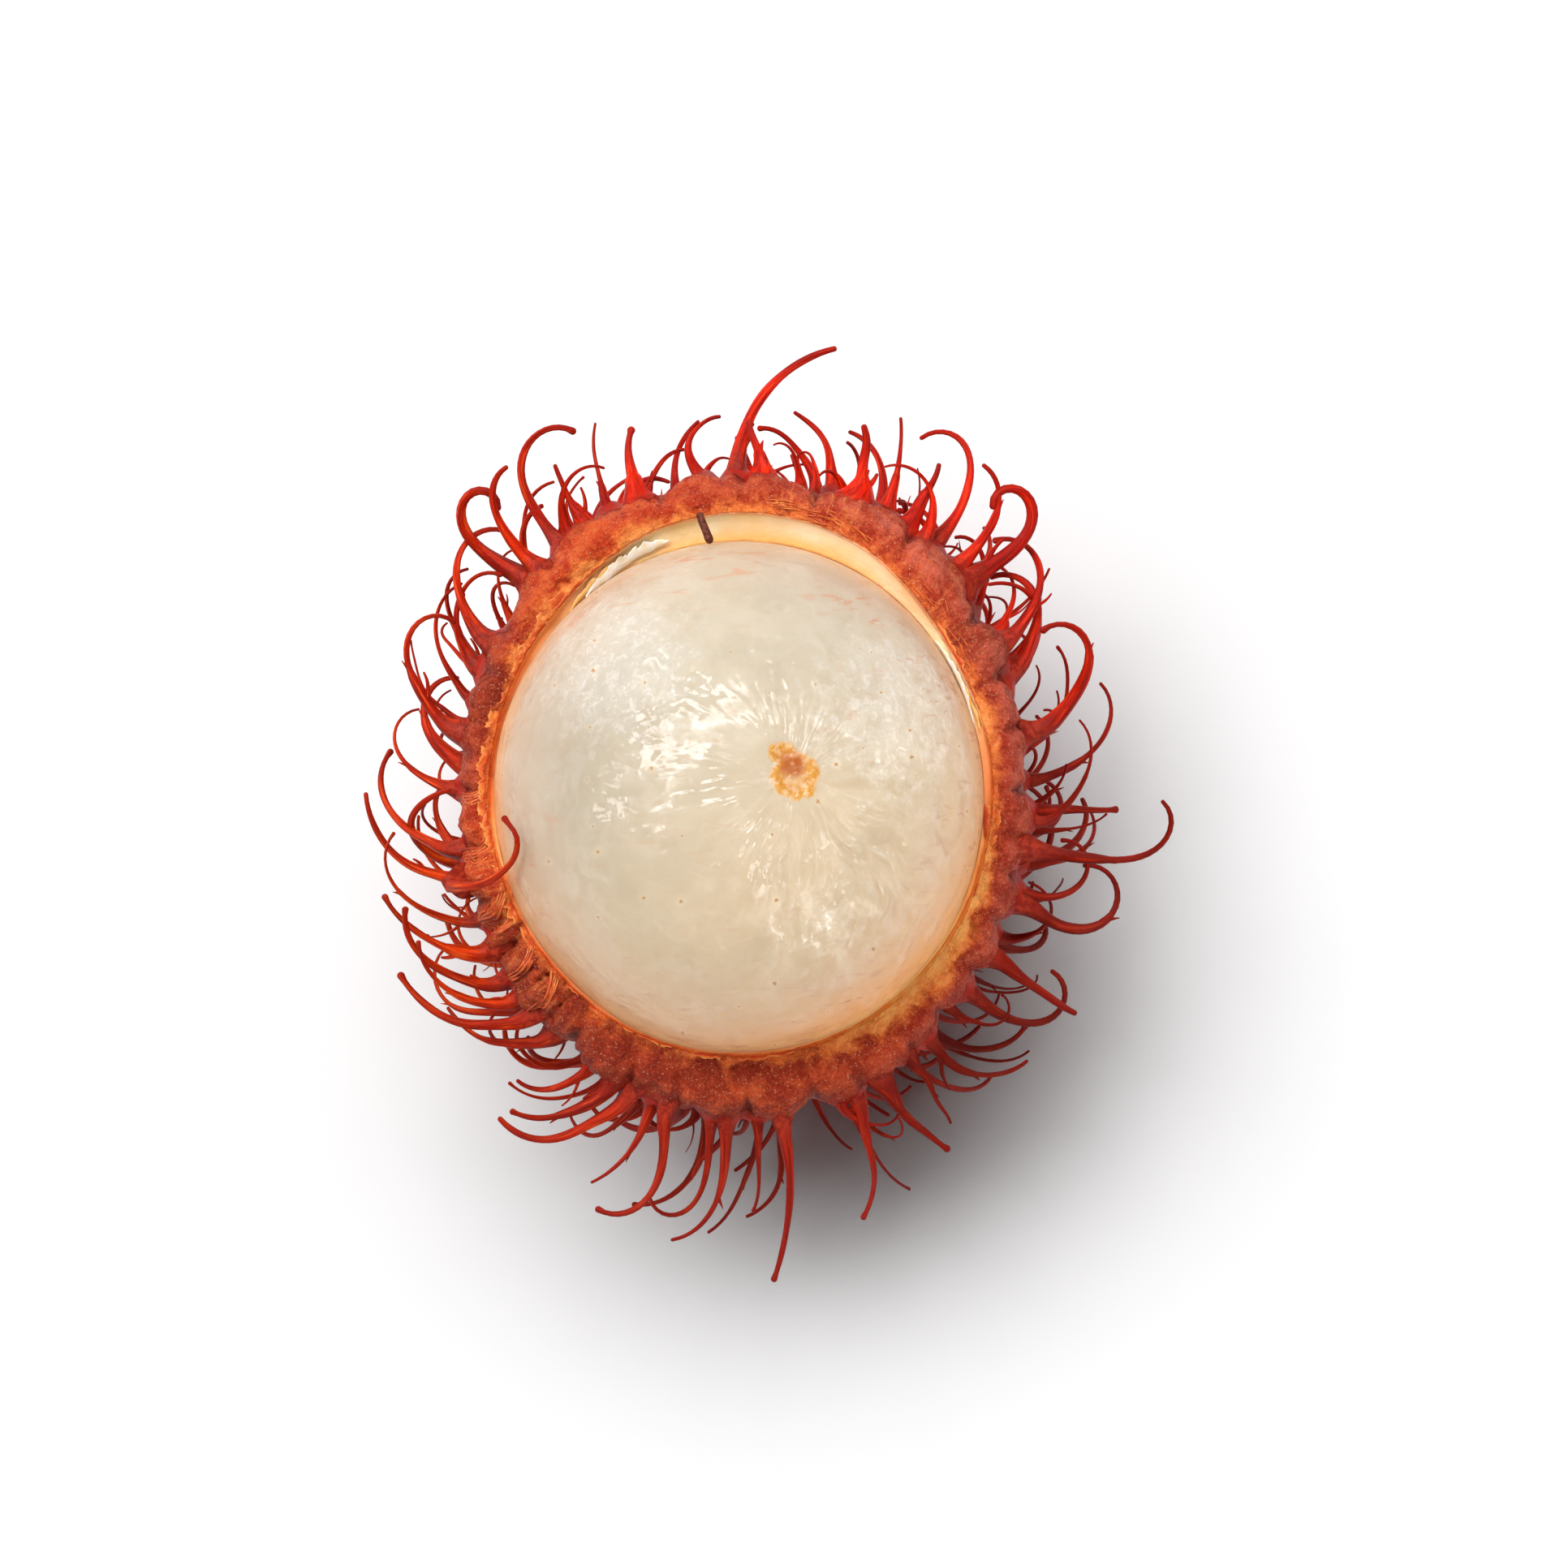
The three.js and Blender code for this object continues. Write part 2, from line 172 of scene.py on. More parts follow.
# Three lists by azimuth, spread to both sides and distance: how much deeper the groove is, how much further
# the rind stays inside its ellipsoid, and how much nearer to the flesh the cut edge comes than in the
# construction.
WIDE_GROOVES = [(160, 30, 0.3), (15, 28, 0.2), (80, 42, 1.6), (270, 60, -0.15)]
SLIMMER = [(315, 42, 0.9), (235, 38, 0.75), (5, 25, 0.5), (185, 20, 0.3)]
NARROWER = [(30, 26, 0.95), (140, 22, 0.55), (166, 14, 0.2), (275, 25, 0.2), (320, 25, 0.35), (350, 15, 0.3)]
CLEARANCE = 0.04  # between the lining and the flesh
CLING = 0.35  # how far the lining climbs the flesh where there is no gap between them
TOUCH = 0.1  # how far the lining's upper edge is pressed into the flesh

# Where the cut, the lining and the spines take each tint: azimuth, spread to both sides and strength.
CUT_TINTS = {
    "orange": [(112, 20, 0.36), (142, 18, 0.5), (70, 26, 0.18), (15, 9, 0.5), (318, 26, 1), (348, 12, 0.25),
               (191, 14, 0.38)],
    "dark": [(29, 11, 0.6), (161, 13, 0.85), (212, 10, 0.55), (230, 18, 0.7), (265, 22, 0.7), (290, 12, 0.3)],
    "vivid": [(125, 26, 1), (200, 24, 0.9), (275, 20, 0.6), (60, 30, 0.3)],
    "rosy": [(50, 30, 1), (8, 16, 0.6), (335, 22, 0.5)],
    "pale": [(28, 13, 1), (110, 26, 1), (65, 30, 0.75)],
    "fibrous": [(74, 13, 1), (42, 10, 0.6), (206, 22, 0.8), (130, 14, 0.35)],
}
ORANGE_EVERYWHERE = 0.1
SPINE_TINTS = {
    "warm": [(200, 34, 1), (255, 30, 0.3), (140, 25, 0.4)],
    # Under the shade tint the spines are painted darker, as shade for the sides that the fruit shades.
    "shade": [(320, 38, 1), (262, 34, 0.75), (5, 25, 0.5)],
}
# An item's number seeds its chances. These are where each kind's numbers begin.
HOOK_ITEM = 999
ORDINARY_ITEMS = 1000
STRAND_ITEMS = 2000
FINE_ITEMS = 3000
STUB_ITEM = 7
NUB_CHANCE = 0.45  # of a small thorn on a spine
TWIG_CHANCE = 0.3  # of a side shoot
KNOB_CHANCE = 0.3  # of a swollen tip
THIN_SIDES = 6
NUB_RINGS = 5
TWIG_RINGS = 9
TUBE_VALUES = ["along", "item", "furrow", "side", "front"]
TUBE_LOWEST = 0.03  # no spine comes nearer to the floor

# Ribbons of torn lining that lie over the inside of the cut, with ragged outer edges: name, seed, how far out
# they begin, lift, reach, size of the tears, and where they are, by azimuth, spread and share of the reach.
TORN_RIBBONS = [
    ("rind_torn_edge", 5, 0.02, 0.08, 0.8, 1.5,
     [(155, 24, 1), (192, 18, 0.9), (235, 35, 0.3), (355, 22, 0.35)]),
    ("rind_torn_flakes", 15, 0.1, 0.18, 0.9, 0.9,
     [(140, 9, 0.8), (172, 14, 0.9), (206, 18, 0.7), (268, 20, 0.3), (352, 10, 0.6), (28, 12, 0.4)]),
]
TORN_COLUMNS = 1400
TORN_ROWS = 9
TORN_THICKNESS = 0.16
# Thin strips that lie on the slope inside the cut: name, azimuths at the ends, how far up the slope each end
# starts, width and finish.
STRIPS = [
    ("rind_membrane_1", 107, 129, 0.42, 0.02, 1.05, "pale"),
    ("rind_membrane_2", 16, 37, 0.02, 0.2, 0.5, "pale"),
    ("rind_flap_1", 349.5, 358, 0.55, 0.0, 0.85, "torn"),
    ("rind_flap_2", 121, 134, 0.55, 0.1, 0.6, "golden"),
    ("rind_flap_3", 13, 27, 0.5, 0.35, 0.45, "golden"),
]
STRIP_COLUMNS = 60
STRIP_ROWS = 8
STRIP_THICKNESS = 0.12
MEMBRANE_COLOURS = {
    "golden": ((0.86, 0.38, 0.08), (0.94, 0.62, 0.24)),
    "pale": ((0.92, 0.78, 0.55), (0.97, 0.93, 0.85)),
}
# Strands that run from a spine's foot over the cut to the flesh: azimuth, its spread, count and girth.
FANS = [
    (204, 4.0, 26, 0.06), (191, 3.0, 12, 0.055), (215, 1.2, 8, 0.06), (222.5, 1.3, 9, 0.065),
    (180.5, 1.4, 7, 0.05),
]
STRAND_KNOTS = 7
STRAND_RINGS = 16
STRAND_SIDES = 8
FIBRE_RINGS = 9
TORN_FIBRES = [(60, 82)] * 42 + [(22, 45)] * 18  # between which azimuths each one starts
STUB_RINGS = 10
STUB_SIDES = 12
STUB_LINE = [(-3.2, 19.5, 24.5), (-3.05, 19.0, 24.65), (-2.8, 18.4, 24.9), (-2.55, 17.75, 25.3)]

FLESH_COLUMNS = 420
# First and last angle from the scar, and how many rings between them.
FLESH_RINGS = [(0, 0.16, 26), (0.16, 1.95, 140), (1.95, math.pi, 26)]
FLESH_ARC = 17  # millimetres over the ball for a radian
SCAR = (3.2, 1.8)  # middle of the scar, seen from above
SCAR_LOBES = [(3.25, 1.55, 1.5), (2.4, 3.0, 0.72)]  # x, y, radius
SCAR_CORE = (3.1, 2.3)
# Places on a ball of radius 1, seen from above: x, y, size and strength.
CREAM_BLOBS = [(-0.46, 0.5, 0.13, 1), (0.6, 0.34, 0.18, 0.85), (0.35, -0.45, 0.06, 0.5)]
RIBBED_BLOBS = [(0.42, -0.45, 0.09, 1)]


# ---- helpers ----
def unit(vectors):
    return vectors / np.linalg.norm(vectors, axis=-1, keepdims=True)


def chance(item, draw):
    """The same number from 0 to 1 each time for the same item and draw."""
    value = math.sin(item * 127.1 + draw * 311.7) * 43758.5453
    return value - math.floor(value)


def between(low, high, item, draw):
    return low + (high - low) * chance(item, draw)


def rotated(vector, axis, angle):
    """vector turned about a unit axis by each of the angles, in radians."""
    angle = np.asarray(angle)[..., None]
    along = axis * np.dot(axis, vector)
    return vector * np.cos(angle) + np.cross(axis, vector) * np.sin(angle) + along * (1 - np.cos(angle))


def smoothstep(low, high, value):
    share = np.clip((value - low) / (high - low), 0, 1)
    return share * share * (3 - 2 * share)


def azimuth_of(points):
    return np.arctan2(points[..., 1], points[..., 0])


def degrees_past(azimuth, centre):
    """How far an azimuth in radians is past one in degrees, from -180 to 180."""
    return (np.degrees(azimuth) - centre + 180) % 360 - 180


def sector(azimuth, centre, width):
    """1 at an azimuth round the stem axis, falling to 0 on both sides of it. centre and width are in degrees."""
    return np.exp(-(degrees_past(azimuth, centre) / width) ** 2)


def directed(azimuth, parts):
    """The sum of parts that each have an azimuth, a spread to both sides of it and a height."""
    return sum(height * sector(azimuth, centre, width) for centre, width, height in parts)


def tinted(azimuth, parts, base=0):
    return np.clip(base + directed(azimuth, parts), 0, 1)


def blobs(ball, parts):
    """The sum of round patches on a ball of radius 1."""
    return sum(height * np.exp(-((ball[:, 0] - x) ** 2 + (ball[:, 1] - y) ** 2) / size)
               for x, y, size, height in parts)


def lumps(points, size, octaves, seed):
    """Smooth noise from about -1 to 1 at each point, in lumps of about that size."""
    shift = Vector((seed * 17.3, seed * 5.1, seed * 9.7))
    flat = points.reshape(-1, 3) / size
    made = [noise.fractal(Vector(p) + shift, 0.8, 2.1, octaves) for p in flat.tolist()]
    return np.array(made).reshape(points.shape[:-1])


def rim_height(azimuth):
    return RIM_HEIGHT + sum(h * np.sin(n * azimuth + math.radians(s)) for n, h, s in RIM_WAVES)


def slimming(azimuth, z):
    """How far the skin lies inside the plain ellipsoid before it swells round the spines."""
    return (SLIMMING + directed(azimuth, SLIMMER)) * smoothstep(5, 13, z)


def cut_edge(azimuth, z):
    """The inside of the rind near the cut, at an azimuth in radians and a height."""
    return outward(HOLLOW.at(azimuth, z), -directed(azimuth, NARROWER))


def outward(points, distance):
    """The points moved level, away from the stem axis."""
    return points + unit(points * np.array([1, 1, 0])) * np.asarray(distance)[..., None]


def add_mesh(name, points, faces, material, attributes, replaces=None):
    """A smooth mesh from points in millimetres, that rides with the fruit. attributes are one number a point."""
    mesh = bpy.data.meshes.new(name)
    mesh.from_pydata((np.asarray(points) * MM).tolist(), [], faces)
    for key, values in attributes.items():
        mesh.attributes.new(key, "FLOAT", "POINT").data.foreach_set("value", np.ravel(values).astype(np.float32))
    mesh.shade_smooth()
    mesh.materials.append(material)
    piece = bpy.data.objects.new(name, mesh)
    bpy.context.collection.objects.link(piece)
    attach(piece, "root")
    if replaces:
        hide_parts(replaces)


def grid_faces(rows, columns, start=0, closed=True, looped=False):
    """Faces of a grid of points stored row by row. A closed grid joins its last column to its first, and a
    looped one its last row to its first."""
    row, column = np.meshgrid(np.arange(rows if looped else rows - 1),
                              np.arange(columns if closed else columns - 1), indexing="ij")
    above = (row + 1) % rows * columns
    row, beside = row * columns, (column + 1) % columns
    faces = start + np.stack([row + column, row + beside, above + beside, above + column], axis=-1)
    return faces.reshape(-1, 4).tolist()


def fan_faces(centre, start, columns, flipped):
    """Triangles from one point to a ring of points."""
    ring = [(start + i, start + (i + 1) % columns) for i in range(columns)]
    return [(centre, b, a) if flipped else (centre, a, b) for a, b in ring]


def grid_normals(points):
    """Unit normals of a grid whose columns run anticlockwise round Z and whose rows go up the outside."""
    around = np.roll(points, -1, axis=1) - np.roll(points, 1, axis=1)
    up = np.gradient(points, axis=0)
    normals = np.cross(around, up)
    return normals / np.maximum(np.linalg.norm(normals, axis=-1, keepdims=True), 1e-9)


# ---- spines ----
@dataclass
class Spine:
    """A spine by where it grows and how it curls. Its angles are in radians."""
    item: int
    root: np.ndarray
    axis: np.ndarray
    girth: float
    length: float = 0
    normal: np.ndarray = None
    lean: float = 0
    curl: float = 0
    tighten: float = TIGHTEN
    floor: float = 0
    path: list = None


def make_spine(item, azimuth, z, lean, curl, tilt, length, girth, floor, tighten=TIGHTEN):
    root = RIND.at(azimuth, z)
    normal = RIND.normal(root)
    axis = rotated(unit(UP - normal * normal[2]), normal, math.radians(tilt))
    return Spine(item, root, axis, girth, length, normal, math.radians(lean), math.radians(curl), tighten, floor)


def long_spine(i):
    azimuth, lean, curl, length, girth, *tighten = LONG_SPINES[i]
    azimuth = math.radians(azimuth)
    z = rim_height(azimuth) - between(*LONG_DROP, i, 8)
    tilt = between(-LONG_TILT, LONG_TILT, i, 10)
    return make_spine(i, azimuth, z, lean, curl, tilt, length, girth, LONG_FLOOR, *tighten)


def ordinary_spine(i):
    azimuth = math.radians(i * GOLDEN_ANGLE + between(-6, 6, i, 1))
    highest = rim_height(azimuth) - SPINE_BELOW_RIM
    z = SPINE_LOWEST + (highest - SPINE_LOWEST) * (i + 0.5) / SPINE_COUNT
    pull = math.cos(azimuth) - 0.25 * max(0, -math.sin(azimuth))
    return make_spine(
        ORDINARY_ITEMS + i, azimuth, z,
        lean=34 * pull + between(-16, 16, i, 2),
        curl=math.copysign(50 + 90 * abs(pull), pull) * between(0.6, 1.3, i, 3),
        tilt=between(-50, 50, i, 4),
        length=between(7.5, 11.5, i, 5) * (1 - 0.35 * max(0, math.sin(azimuth)) ** 4),
        girth=between(0.75, 1.15, i, 6),
        tighten=between(1.3, 2.6, i, 9),
        floor=min(between(0.6, 2.2, i, 7), 0.7 * z),
    )


def fine_spines(roots):
    """Short thin spines in the gaps between the roots of the others."""
    roots = list(roots)
    spines = []
    for i in range(FINE_SPINE_COUNT):
        azimuth = math.radians(71 + i * GOLDEN_ANGLE + between(-9, 9, i, 71))
        highest = rim_height(azimuth) - FINE_SPINE_BELOW_RIM
        z = FINE_SPINE_LOWEST + (highest - FINE_SPINE_LOWEST) * (i + 0.5) / FINE_SPINE_COUNT
        root = RIND.at(azimuth, z)
        if np.linalg.norm(np.array(roots) - root, axis=1).min() < FINE_SPINE_SPACE:
            continue
        roots.append(root)
        way = math.copysign(1, math.cos(azimuth) + between(-0.5, 0.5, i, 72))
        spines.append(make_spine(
            FINE_ITEMS + i, azimuth, z,
            lean=way * between(0, 45, i, 73),
            curl=way * between(30, 190, i, 74),
            tilt=between(-60, 60, i, 75),
            length=between(4.2, 8.6, i, 76) * (1 - 0.4 * max(0, math.sin(azimuth)) ** 2),
            girth=between(0.45, 0.72, i, 77),
            tighten=between(1.2, 2.6, i, 78),
            floor=min(between(0.6, 2.2, i, 79), 0.7 * z),
        ))
    return spines


def rim_hook():
    return Spine(HOOK_ITEM, np.array(RIM_HOOK_PATH[1]), UP, RIM_HOOK_GIRTH, path=RIM_HOOK_PATH)


def all_spines():
    long = [long_spine(i) for i in range(len(LONG_SPINES))] + [rim_hook()]
    roots = np.array([spine.root for spine in long])
    ordinary = [ordinary_spine(i) for i in range(SPINE_COUNT)]
    clear = [s for s in ordinary if np.linalg.norm(roots - s.root, axis=1).min() > SPINE_SPACE]
    return long + clear


def curve_part(a, b, c, d, t):
    """Points from b to c of a Catmull-Rom curve through all four, at shares t of the way."""
    return 0.5 * (2 * b + (c - a) * t + (2 * a - 5 * b + 4 * c - d) * t ** 2 + (3 * b - 3 * c + d - a) * t ** 3)


def rounded(points, pieces):
    """A curve through the points."""
    points = np.array(points, dtype=float)
    ends = np.vstack([2 * points[0] - points[1], points, 2 * points[-1] - points[-2]])
    t = np.linspace(0, 1, pieces, endpoint=False)[:, None]
    parts = [curve_part(*knots, t) for knots in zip(ends, ends[1:], ends[2:], ends[3:])]
    return np.vstack([*parts, points[-1:]])


def spine_line(spine):
    """The line that a spine follows, from its sunk root to its tip."""
    if spine.path is not None:
        return rounded(spine.path, 8)
    share = (np.arange(SPINE_PIECES) + 0.5) / SPINE_PIECES
    angle = spine.lean * np.minimum(1, share / LEAN_END) + spine.curl * share ** spine.tighten
    steps = rotated(spine.normal, spine.axis, angle) * spine.length / SPINE_PIECES
    sunk = ROOT_DEPTH + slimming(math.atan2(spine.root[1], spine.root[0]), spine.root[2])
    points = np.vstack([spine.root - spine.normal * sunk, spine.root, spine.root + np.cumsum(steps, axis=0)])
    points[:, 2] = spine.floor + FLOOR_GIVE * np.logaddexp(0, (points[:, 2] - spine.floor) / FLOOR_GIVE)
    return points


def along_line(points, shares):
    """Points at shares of a line's length, with its unit tangents there."""
    lengths = np.concatenate([[0], np.cumsum(np.linalg.norm(np.diff(points, axis=0), axis=1))])
    at = shares * lengths[-1]
    placed = np.stack([np.interp(at, lengths, points[:, k]) for k in range(3)], axis=-1)
    slopes = np.gradient(points, axis=0)
    tangents = np.stack([np.interp(at, lengths, slopes[:, k]) for k in range(3)], axis=-1)
    return placed, unit(tangents), lengths[-1]


def crossways(axis, tangents):
    """Two directions across a line at each of its tangents. The first is as near to the axis as can be."""
    side = unit(axis - tangents * (tangents @ axis)[:, None])
    return side, np.cross(side, tangents)


class Tubes:
    """Tapered rods with blunt tips, gathered into one mesh."""

    def __init__(self):
        self.points = []
        self.faces = []
        self.values = {key: [] for key in TUBE_VALUES}
        self.count = 0

    def add(self, centres, tangents, axis, radii, sides, along, item, furrow=0.0, twist=0.0, flat=0.0):
        side, front = crossways(axis, tangents)
        tip = np.linspace(0, math.pi / 2, TIP_RINGS + 1)[1:-1]
        end_radius = radii[-1]
        centres = np.vstack([centres, centres[-1] + tangents[-1] * (end_radius * np.sin(tip))[:, None]])
        radii = np.concatenate([radii, end_radius * np.cos(tip)])
        more = len(tip)
        side = np.vstack([side, np.repeat(side[-1:], more, axis=0)])
        front = np.vstack([front, np.repeat(front[-1:], more, axis=0)])
        along = np.concatenate([along, np.repeat(along[-1], more)])
        rings = len(radii)
        turn = np.linspace(0, 2 * math.pi, sides, endpoint=False)
        fade = np.clip(1 - along / 0.75, 0, 1)[:, None]
        spin = turn[None, :] + twist * along[:, None]
        groove = np.cos(4 * turn[None, :] + item)
        across = radii[:, None] * (1 + furrow * fade * groove)
        ring = centres[:, None] + side[:, None] * (across * np.cos(spin) * (1 - flat))[..., None] \
            + front[:, None] * (across * np.sin(spin) * (1 + flat))[..., None]
        ring[..., 2] = np.maximum(ring[..., 2], TUBE_LOWEST)
        start = self.count
        tip_point = centres[-1] + tangents[-1] * end_radius * (1 - math.sin(tip[-1]))
        tip_point[2] = max(tip_point[2], TUBE_LOWEST)
        self.points += [ring.reshape(-1, 3), centres[:1], tip_point[None]]
        self.faces += grid_faces(rings, sides, start)
        self.faces += fan_faces(start + rings * sides, start, sides, True)
        self.faces += fan_faces(start + rings * sides + 1, start + (rings - 1) * sides, sides, False)
        level = np.ones((rings, sides))
        body = {"along": level * along[:, None], "item": level * chance(item, 40), "side": level * np.cos(turn),
                "front": level * np.sin(turn), "furrow": (0.5 - 0.5 * groove) * (0.35 + 0.65 * fade)}
        ends = {"along": [along[0], along[-1]], "item": [chance(item, 40)] * 2}
        for key, values in body.items():
            self.values[key] += [values.ravel(), ends.get(key, [0, 0])]
        self.count += rings * sides + 2

    def make(self, name, finish, values, replaces=None):
        add_mesh(name, np.vstack(self.points), self.faces, finish, values, replaces)


def spine_radius(share):
    at, radius = np.array(SPINE_RADII).T
    return np.interp(share, at, radius)


def add_spine(tubes, spine):
    item = spine.item
    points = spine_line(spine)
    shares = np.linspace(0, 1, SPINE_RINGS) ** 1.15
    centres, tangents, length = along_line(points, shares)
    side, front = crossways(spine.axis, tangents)
    sway = smoothstep(0.15, 0.5, shares)
    for direction, draw in ((side, 20), (front, 24)):
        size = between(0.02, 0.1, item, draw)
        swings = between(0.8, 2.2, item, draw + 1) * 2 * math.pi
        wave = np.sin(swings * shares + between(0, 6.28, item, draw + 2))
        centres = centres + direction * (sway * size * wave)[:, None]
    tangents = unit(np.gradient(centres, axis=0))
    flare = SPINE_FLARE * math.sqrt(spine.girth) * between(0.8, 1.2, item, 42)
    radii = spine_radius(shares) * spine.girth * between(0.85, 1.1, item, 43)
    radii = radii + flare * np.exp(-np.maximum(0, shares * length - FLARE_START) / FLARE_LENGTH)
    radii *= 1 + 0.05 * np.sin(shares * length * 1.7 + item)
    if chance(item, 30) < NUB_CHANCE:
        nub = between(0.42, 0.68, item, 31)
        radii *= 1 - 0.22 * smoothstep(nub - 0.02, nub + 0.03, shares)
        add_nub(tubes, spine, centres, tangents, radii, shares, nub)
    if chance(item, 32) < TWIG_CHANCE:
        add_twig(tubes, spine, centres, tangents, radii, shares)
    if chance(item, 33) < KNOB_CHANCE:
        radii *= 1 + 0.45 * smoothstep(0.95, 1, shares)
    tubes.add(centres, tangents, spine.axis, radii, SPINE_SIDES, shares, item,
              furrow=0.16, twist=between(-2, 2, item, 34), flat=between(-0.05, 0.25, item, 35))


def add_nub(tubes, spine, centres, tangents, radii, shares, nub):
    """A small thorn where a spine bends, pointing on the way that it came."""
    k = int(np.argmin(np.abs(shares - nub)))
    bend = math.copysign(1, spine.curl or 1)
    direction = rotated(tangents[k], spine.axis, -bend * math.radians(between(10, 45, spine.item, 36)))
    size = between(0.5, 1.0, spine.item, 37)
    steps = np.linspace(0, 1, NUB_RINGS)
    line = centres[k] + direction * (steps * size)[:, None]
    radii = radii[k] * np.interp(steps, [0, 0.4, 1], [0.9, 0.55, 0.12])
    tubes.add(line, np.repeat(direction[None], NUB_RINGS, axis=0), spine.axis, radii, THIN_SIDES,
              nub + steps * 0.1, spine.item)


def add_twig(tubes, spine, centres, tangents, radii, shares):
    """A thin side shoot, curved back towards the spine."""
    k = int(np.argmin(np.abs(shares - between(0.18, 0.4, spine.item, 38))))
    turn = 1 if chance(spine.item, 39) < 0.5 else -1
    steps = np.linspace(0, 1, TWIG_RINGS)
    angles = turn * np.radians(58 - 50 * steps)
    size = between(0.9, 2.6, spine.item, 41)
    moves = rotated(tangents[k], spine.axis, angles) * size / (TWIG_RINGS - 1)
    line = centres[k] + np.cumsum(moves, axis=0) - moves[0]
    radii = np.interp(steps, [0, 0.25, 1], [0.24, 0.15, 0.07]) * spine.girth
    tubes.add(line, unit(moves), spine.axis, radii, THIN_SIDES, shares[k] + steps * 0.4, spine.item)


# ---- materials ----
class Field:
    """A number that differs over a surface: a node's output that takes part in sums as a plain number does."""

    def __init__(self, finish, socket):
        self.finish = finish
        self.socket = socket

    def __add__(self, other):
        return self.finish.math("ADD", self, other)

    def __sub__(self, other):
        return self.finish.math("SUBTRACT", self, other)

    def __rsub__(self, other):
        return self.finish.math("SUBTRACT", other, self)

    def __mul__(self, other):
        return self.finish.math("MULTIPLY", self, other)

    def __truediv__(self, other):
        return self.finish.math("DIVIDE", self, other)

    def spread(self, low, high):
        """low where the field is 0 and high where it is 1."""
        return self * (high - low) + low

    __radd__ = __add__
    __rmul__ = __mul__


class Finish:
    """A new material, and short ways to add nodes to it. Each input takes a field, a socket, a number or a
    colour."""

    def __init__(self, name, **constants):
        self.material = bpy.data.materials.new(name)
        self.material.use_nodes = True
        self.tree = self.material.node_tree
        self.shader = self.tree.nodes["Principled BSDF"]
        for key, value in constants.items():
            self.shader.inputs[key.replace("_", " ")].default_value = value
        coordinates = self.tree.nodes.new("ShaderNodeTexCoord")
        self.place = self.vector("SCALE", {0: coordinates.outputs["Object"], 3: 1 / MM})[0]

    def add(self, kind, inputs, **settings):
        node = self.tree.nodes.new(kind)
        for key, value in settings.items():
            setattr(node, key, value)
        for key, value in inputs.items():
            self.put(node.inputs[key], value)
        return node

    def put(self, socket, value):
        if isinstance(value, Field):
            value = value.socket
        if isinstance(value, bpy.types.NodeSocket):
            self.tree.links.new(value, socket)
        elif socket.type == "RGBA":
            socket.default_value = (*value, 1)
        else:
            socket.default_value = value

    def field(self, kind, inputs, output=0, **settings):
        return Field(self, self.add(kind, inputs, **settings).outputs[output])

    def attributes(self, *names):
        return [self.field("ShaderNodeAttribute", {}, "Fac", attribute_name=name) for name in names]

    def math(self, operation, a, b=0.0):
        return self.field("ShaderNodeMath", {0: a, 1: b}, operation=operation)

    def vector(self, operation, inputs):
        return self.add("ShaderNodeVectorMath", inputs, operation=operation).outputs

    def split(self, vector):
        return self.add("ShaderNodeSeparateXYZ", {0: vector}).outputs

    def combine(self, x, y, z=0.0):
        return self.add("ShaderNodeCombineXYZ", {0: x, 1: y, 2: z}).outputs[0]

    def stretched(self, scale, rotation):
        """The place on the fruit, scaled unevenly."""
        inputs = {"Vector": self.place, "Scale": scale, "Rotation": rotation}
        return self.add("ShaderNodeMapping", inputs).outputs[0]

    def azimuth(self, place=None):
        """The angle round the stem axis in radians."""
        parts = self.split(place or self.place)
        return self.math("ARCTAN2", parts["Y"], parts["X"])

    def distance_from(self, x, y):
        """Distance in millimetres from a point of the plan."""
        flat = self.vector("MULTIPLY", {0: self.place, 1: (1, 1, 0)})[0]
        return Field(self, self.vector("DISTANCE", {0: flat, 1: (x, y, 0)})["Value"])

    def noise(self, size, detail=3.0, roughness=0.55, distortion=0.0, vector=None):
        """Noise from 0 to 1, in lumps of about that size in millimetres."""
        return self.field("ShaderNodeTexNoise", {
            "Vector": vector or self.place, "Scale": 1 / size, "Detail": detail,
            "Roughness": roughness, "Distortion": distortion,
        }, "Fac")

    def cells(self, size, **settings):
        """How far it is to the middle of a cell of about that size, and two random numbers of the cell's own."""
        cells = self.add("ShaderNodeTexVoronoi", {"Vector": self.place, "Scale": 1 / size}, **settings).outputs
        parts = self.add("ShaderNodeSeparateColor", {0: cells["Color"]}).outputs
        return Field(self, cells["Distance"]), parts[0], parts[1]

    def remap(self, value, low, high, to_low=0.0, to_high=1.0):
        return self.field("ShaderNodeMapRange", {
            "Value": value, "From Min": low, "From Max": high, "To Min": to_low, "To Max": to_high,
        }, interpolation_type="SMOOTHSTEP")

    def mix(self, share, a, b):
        return self.add("ShaderNodeMix", {"Factor": share, 6: a, 7: b}, data_type="RGBA").outputs[2]

    def coats(self, colour, **coats):
        """A colour under coats of others, from the lowest up, each given with its share at each place."""
        for share, coat in coats.values():
            colour = self.mix(share, colour, coat)
        return colour

    def bump(self, height, distance, normal=None):
        """Relief of that many millimetres between heights 0 and 1."""
        inputs = {"Height": height, "Distance": distance * MM, "Strength": 1.0}
        if normal:
            inputs["Normal"] = normal
        return self.add("ShaderNodeBump", inputs).outputs[0]

    def done(self, **inputs):
        for key, value in inputs.items():
            self.put(self.shader.inputs[key.replace("_", " ")], value)
        return self.material


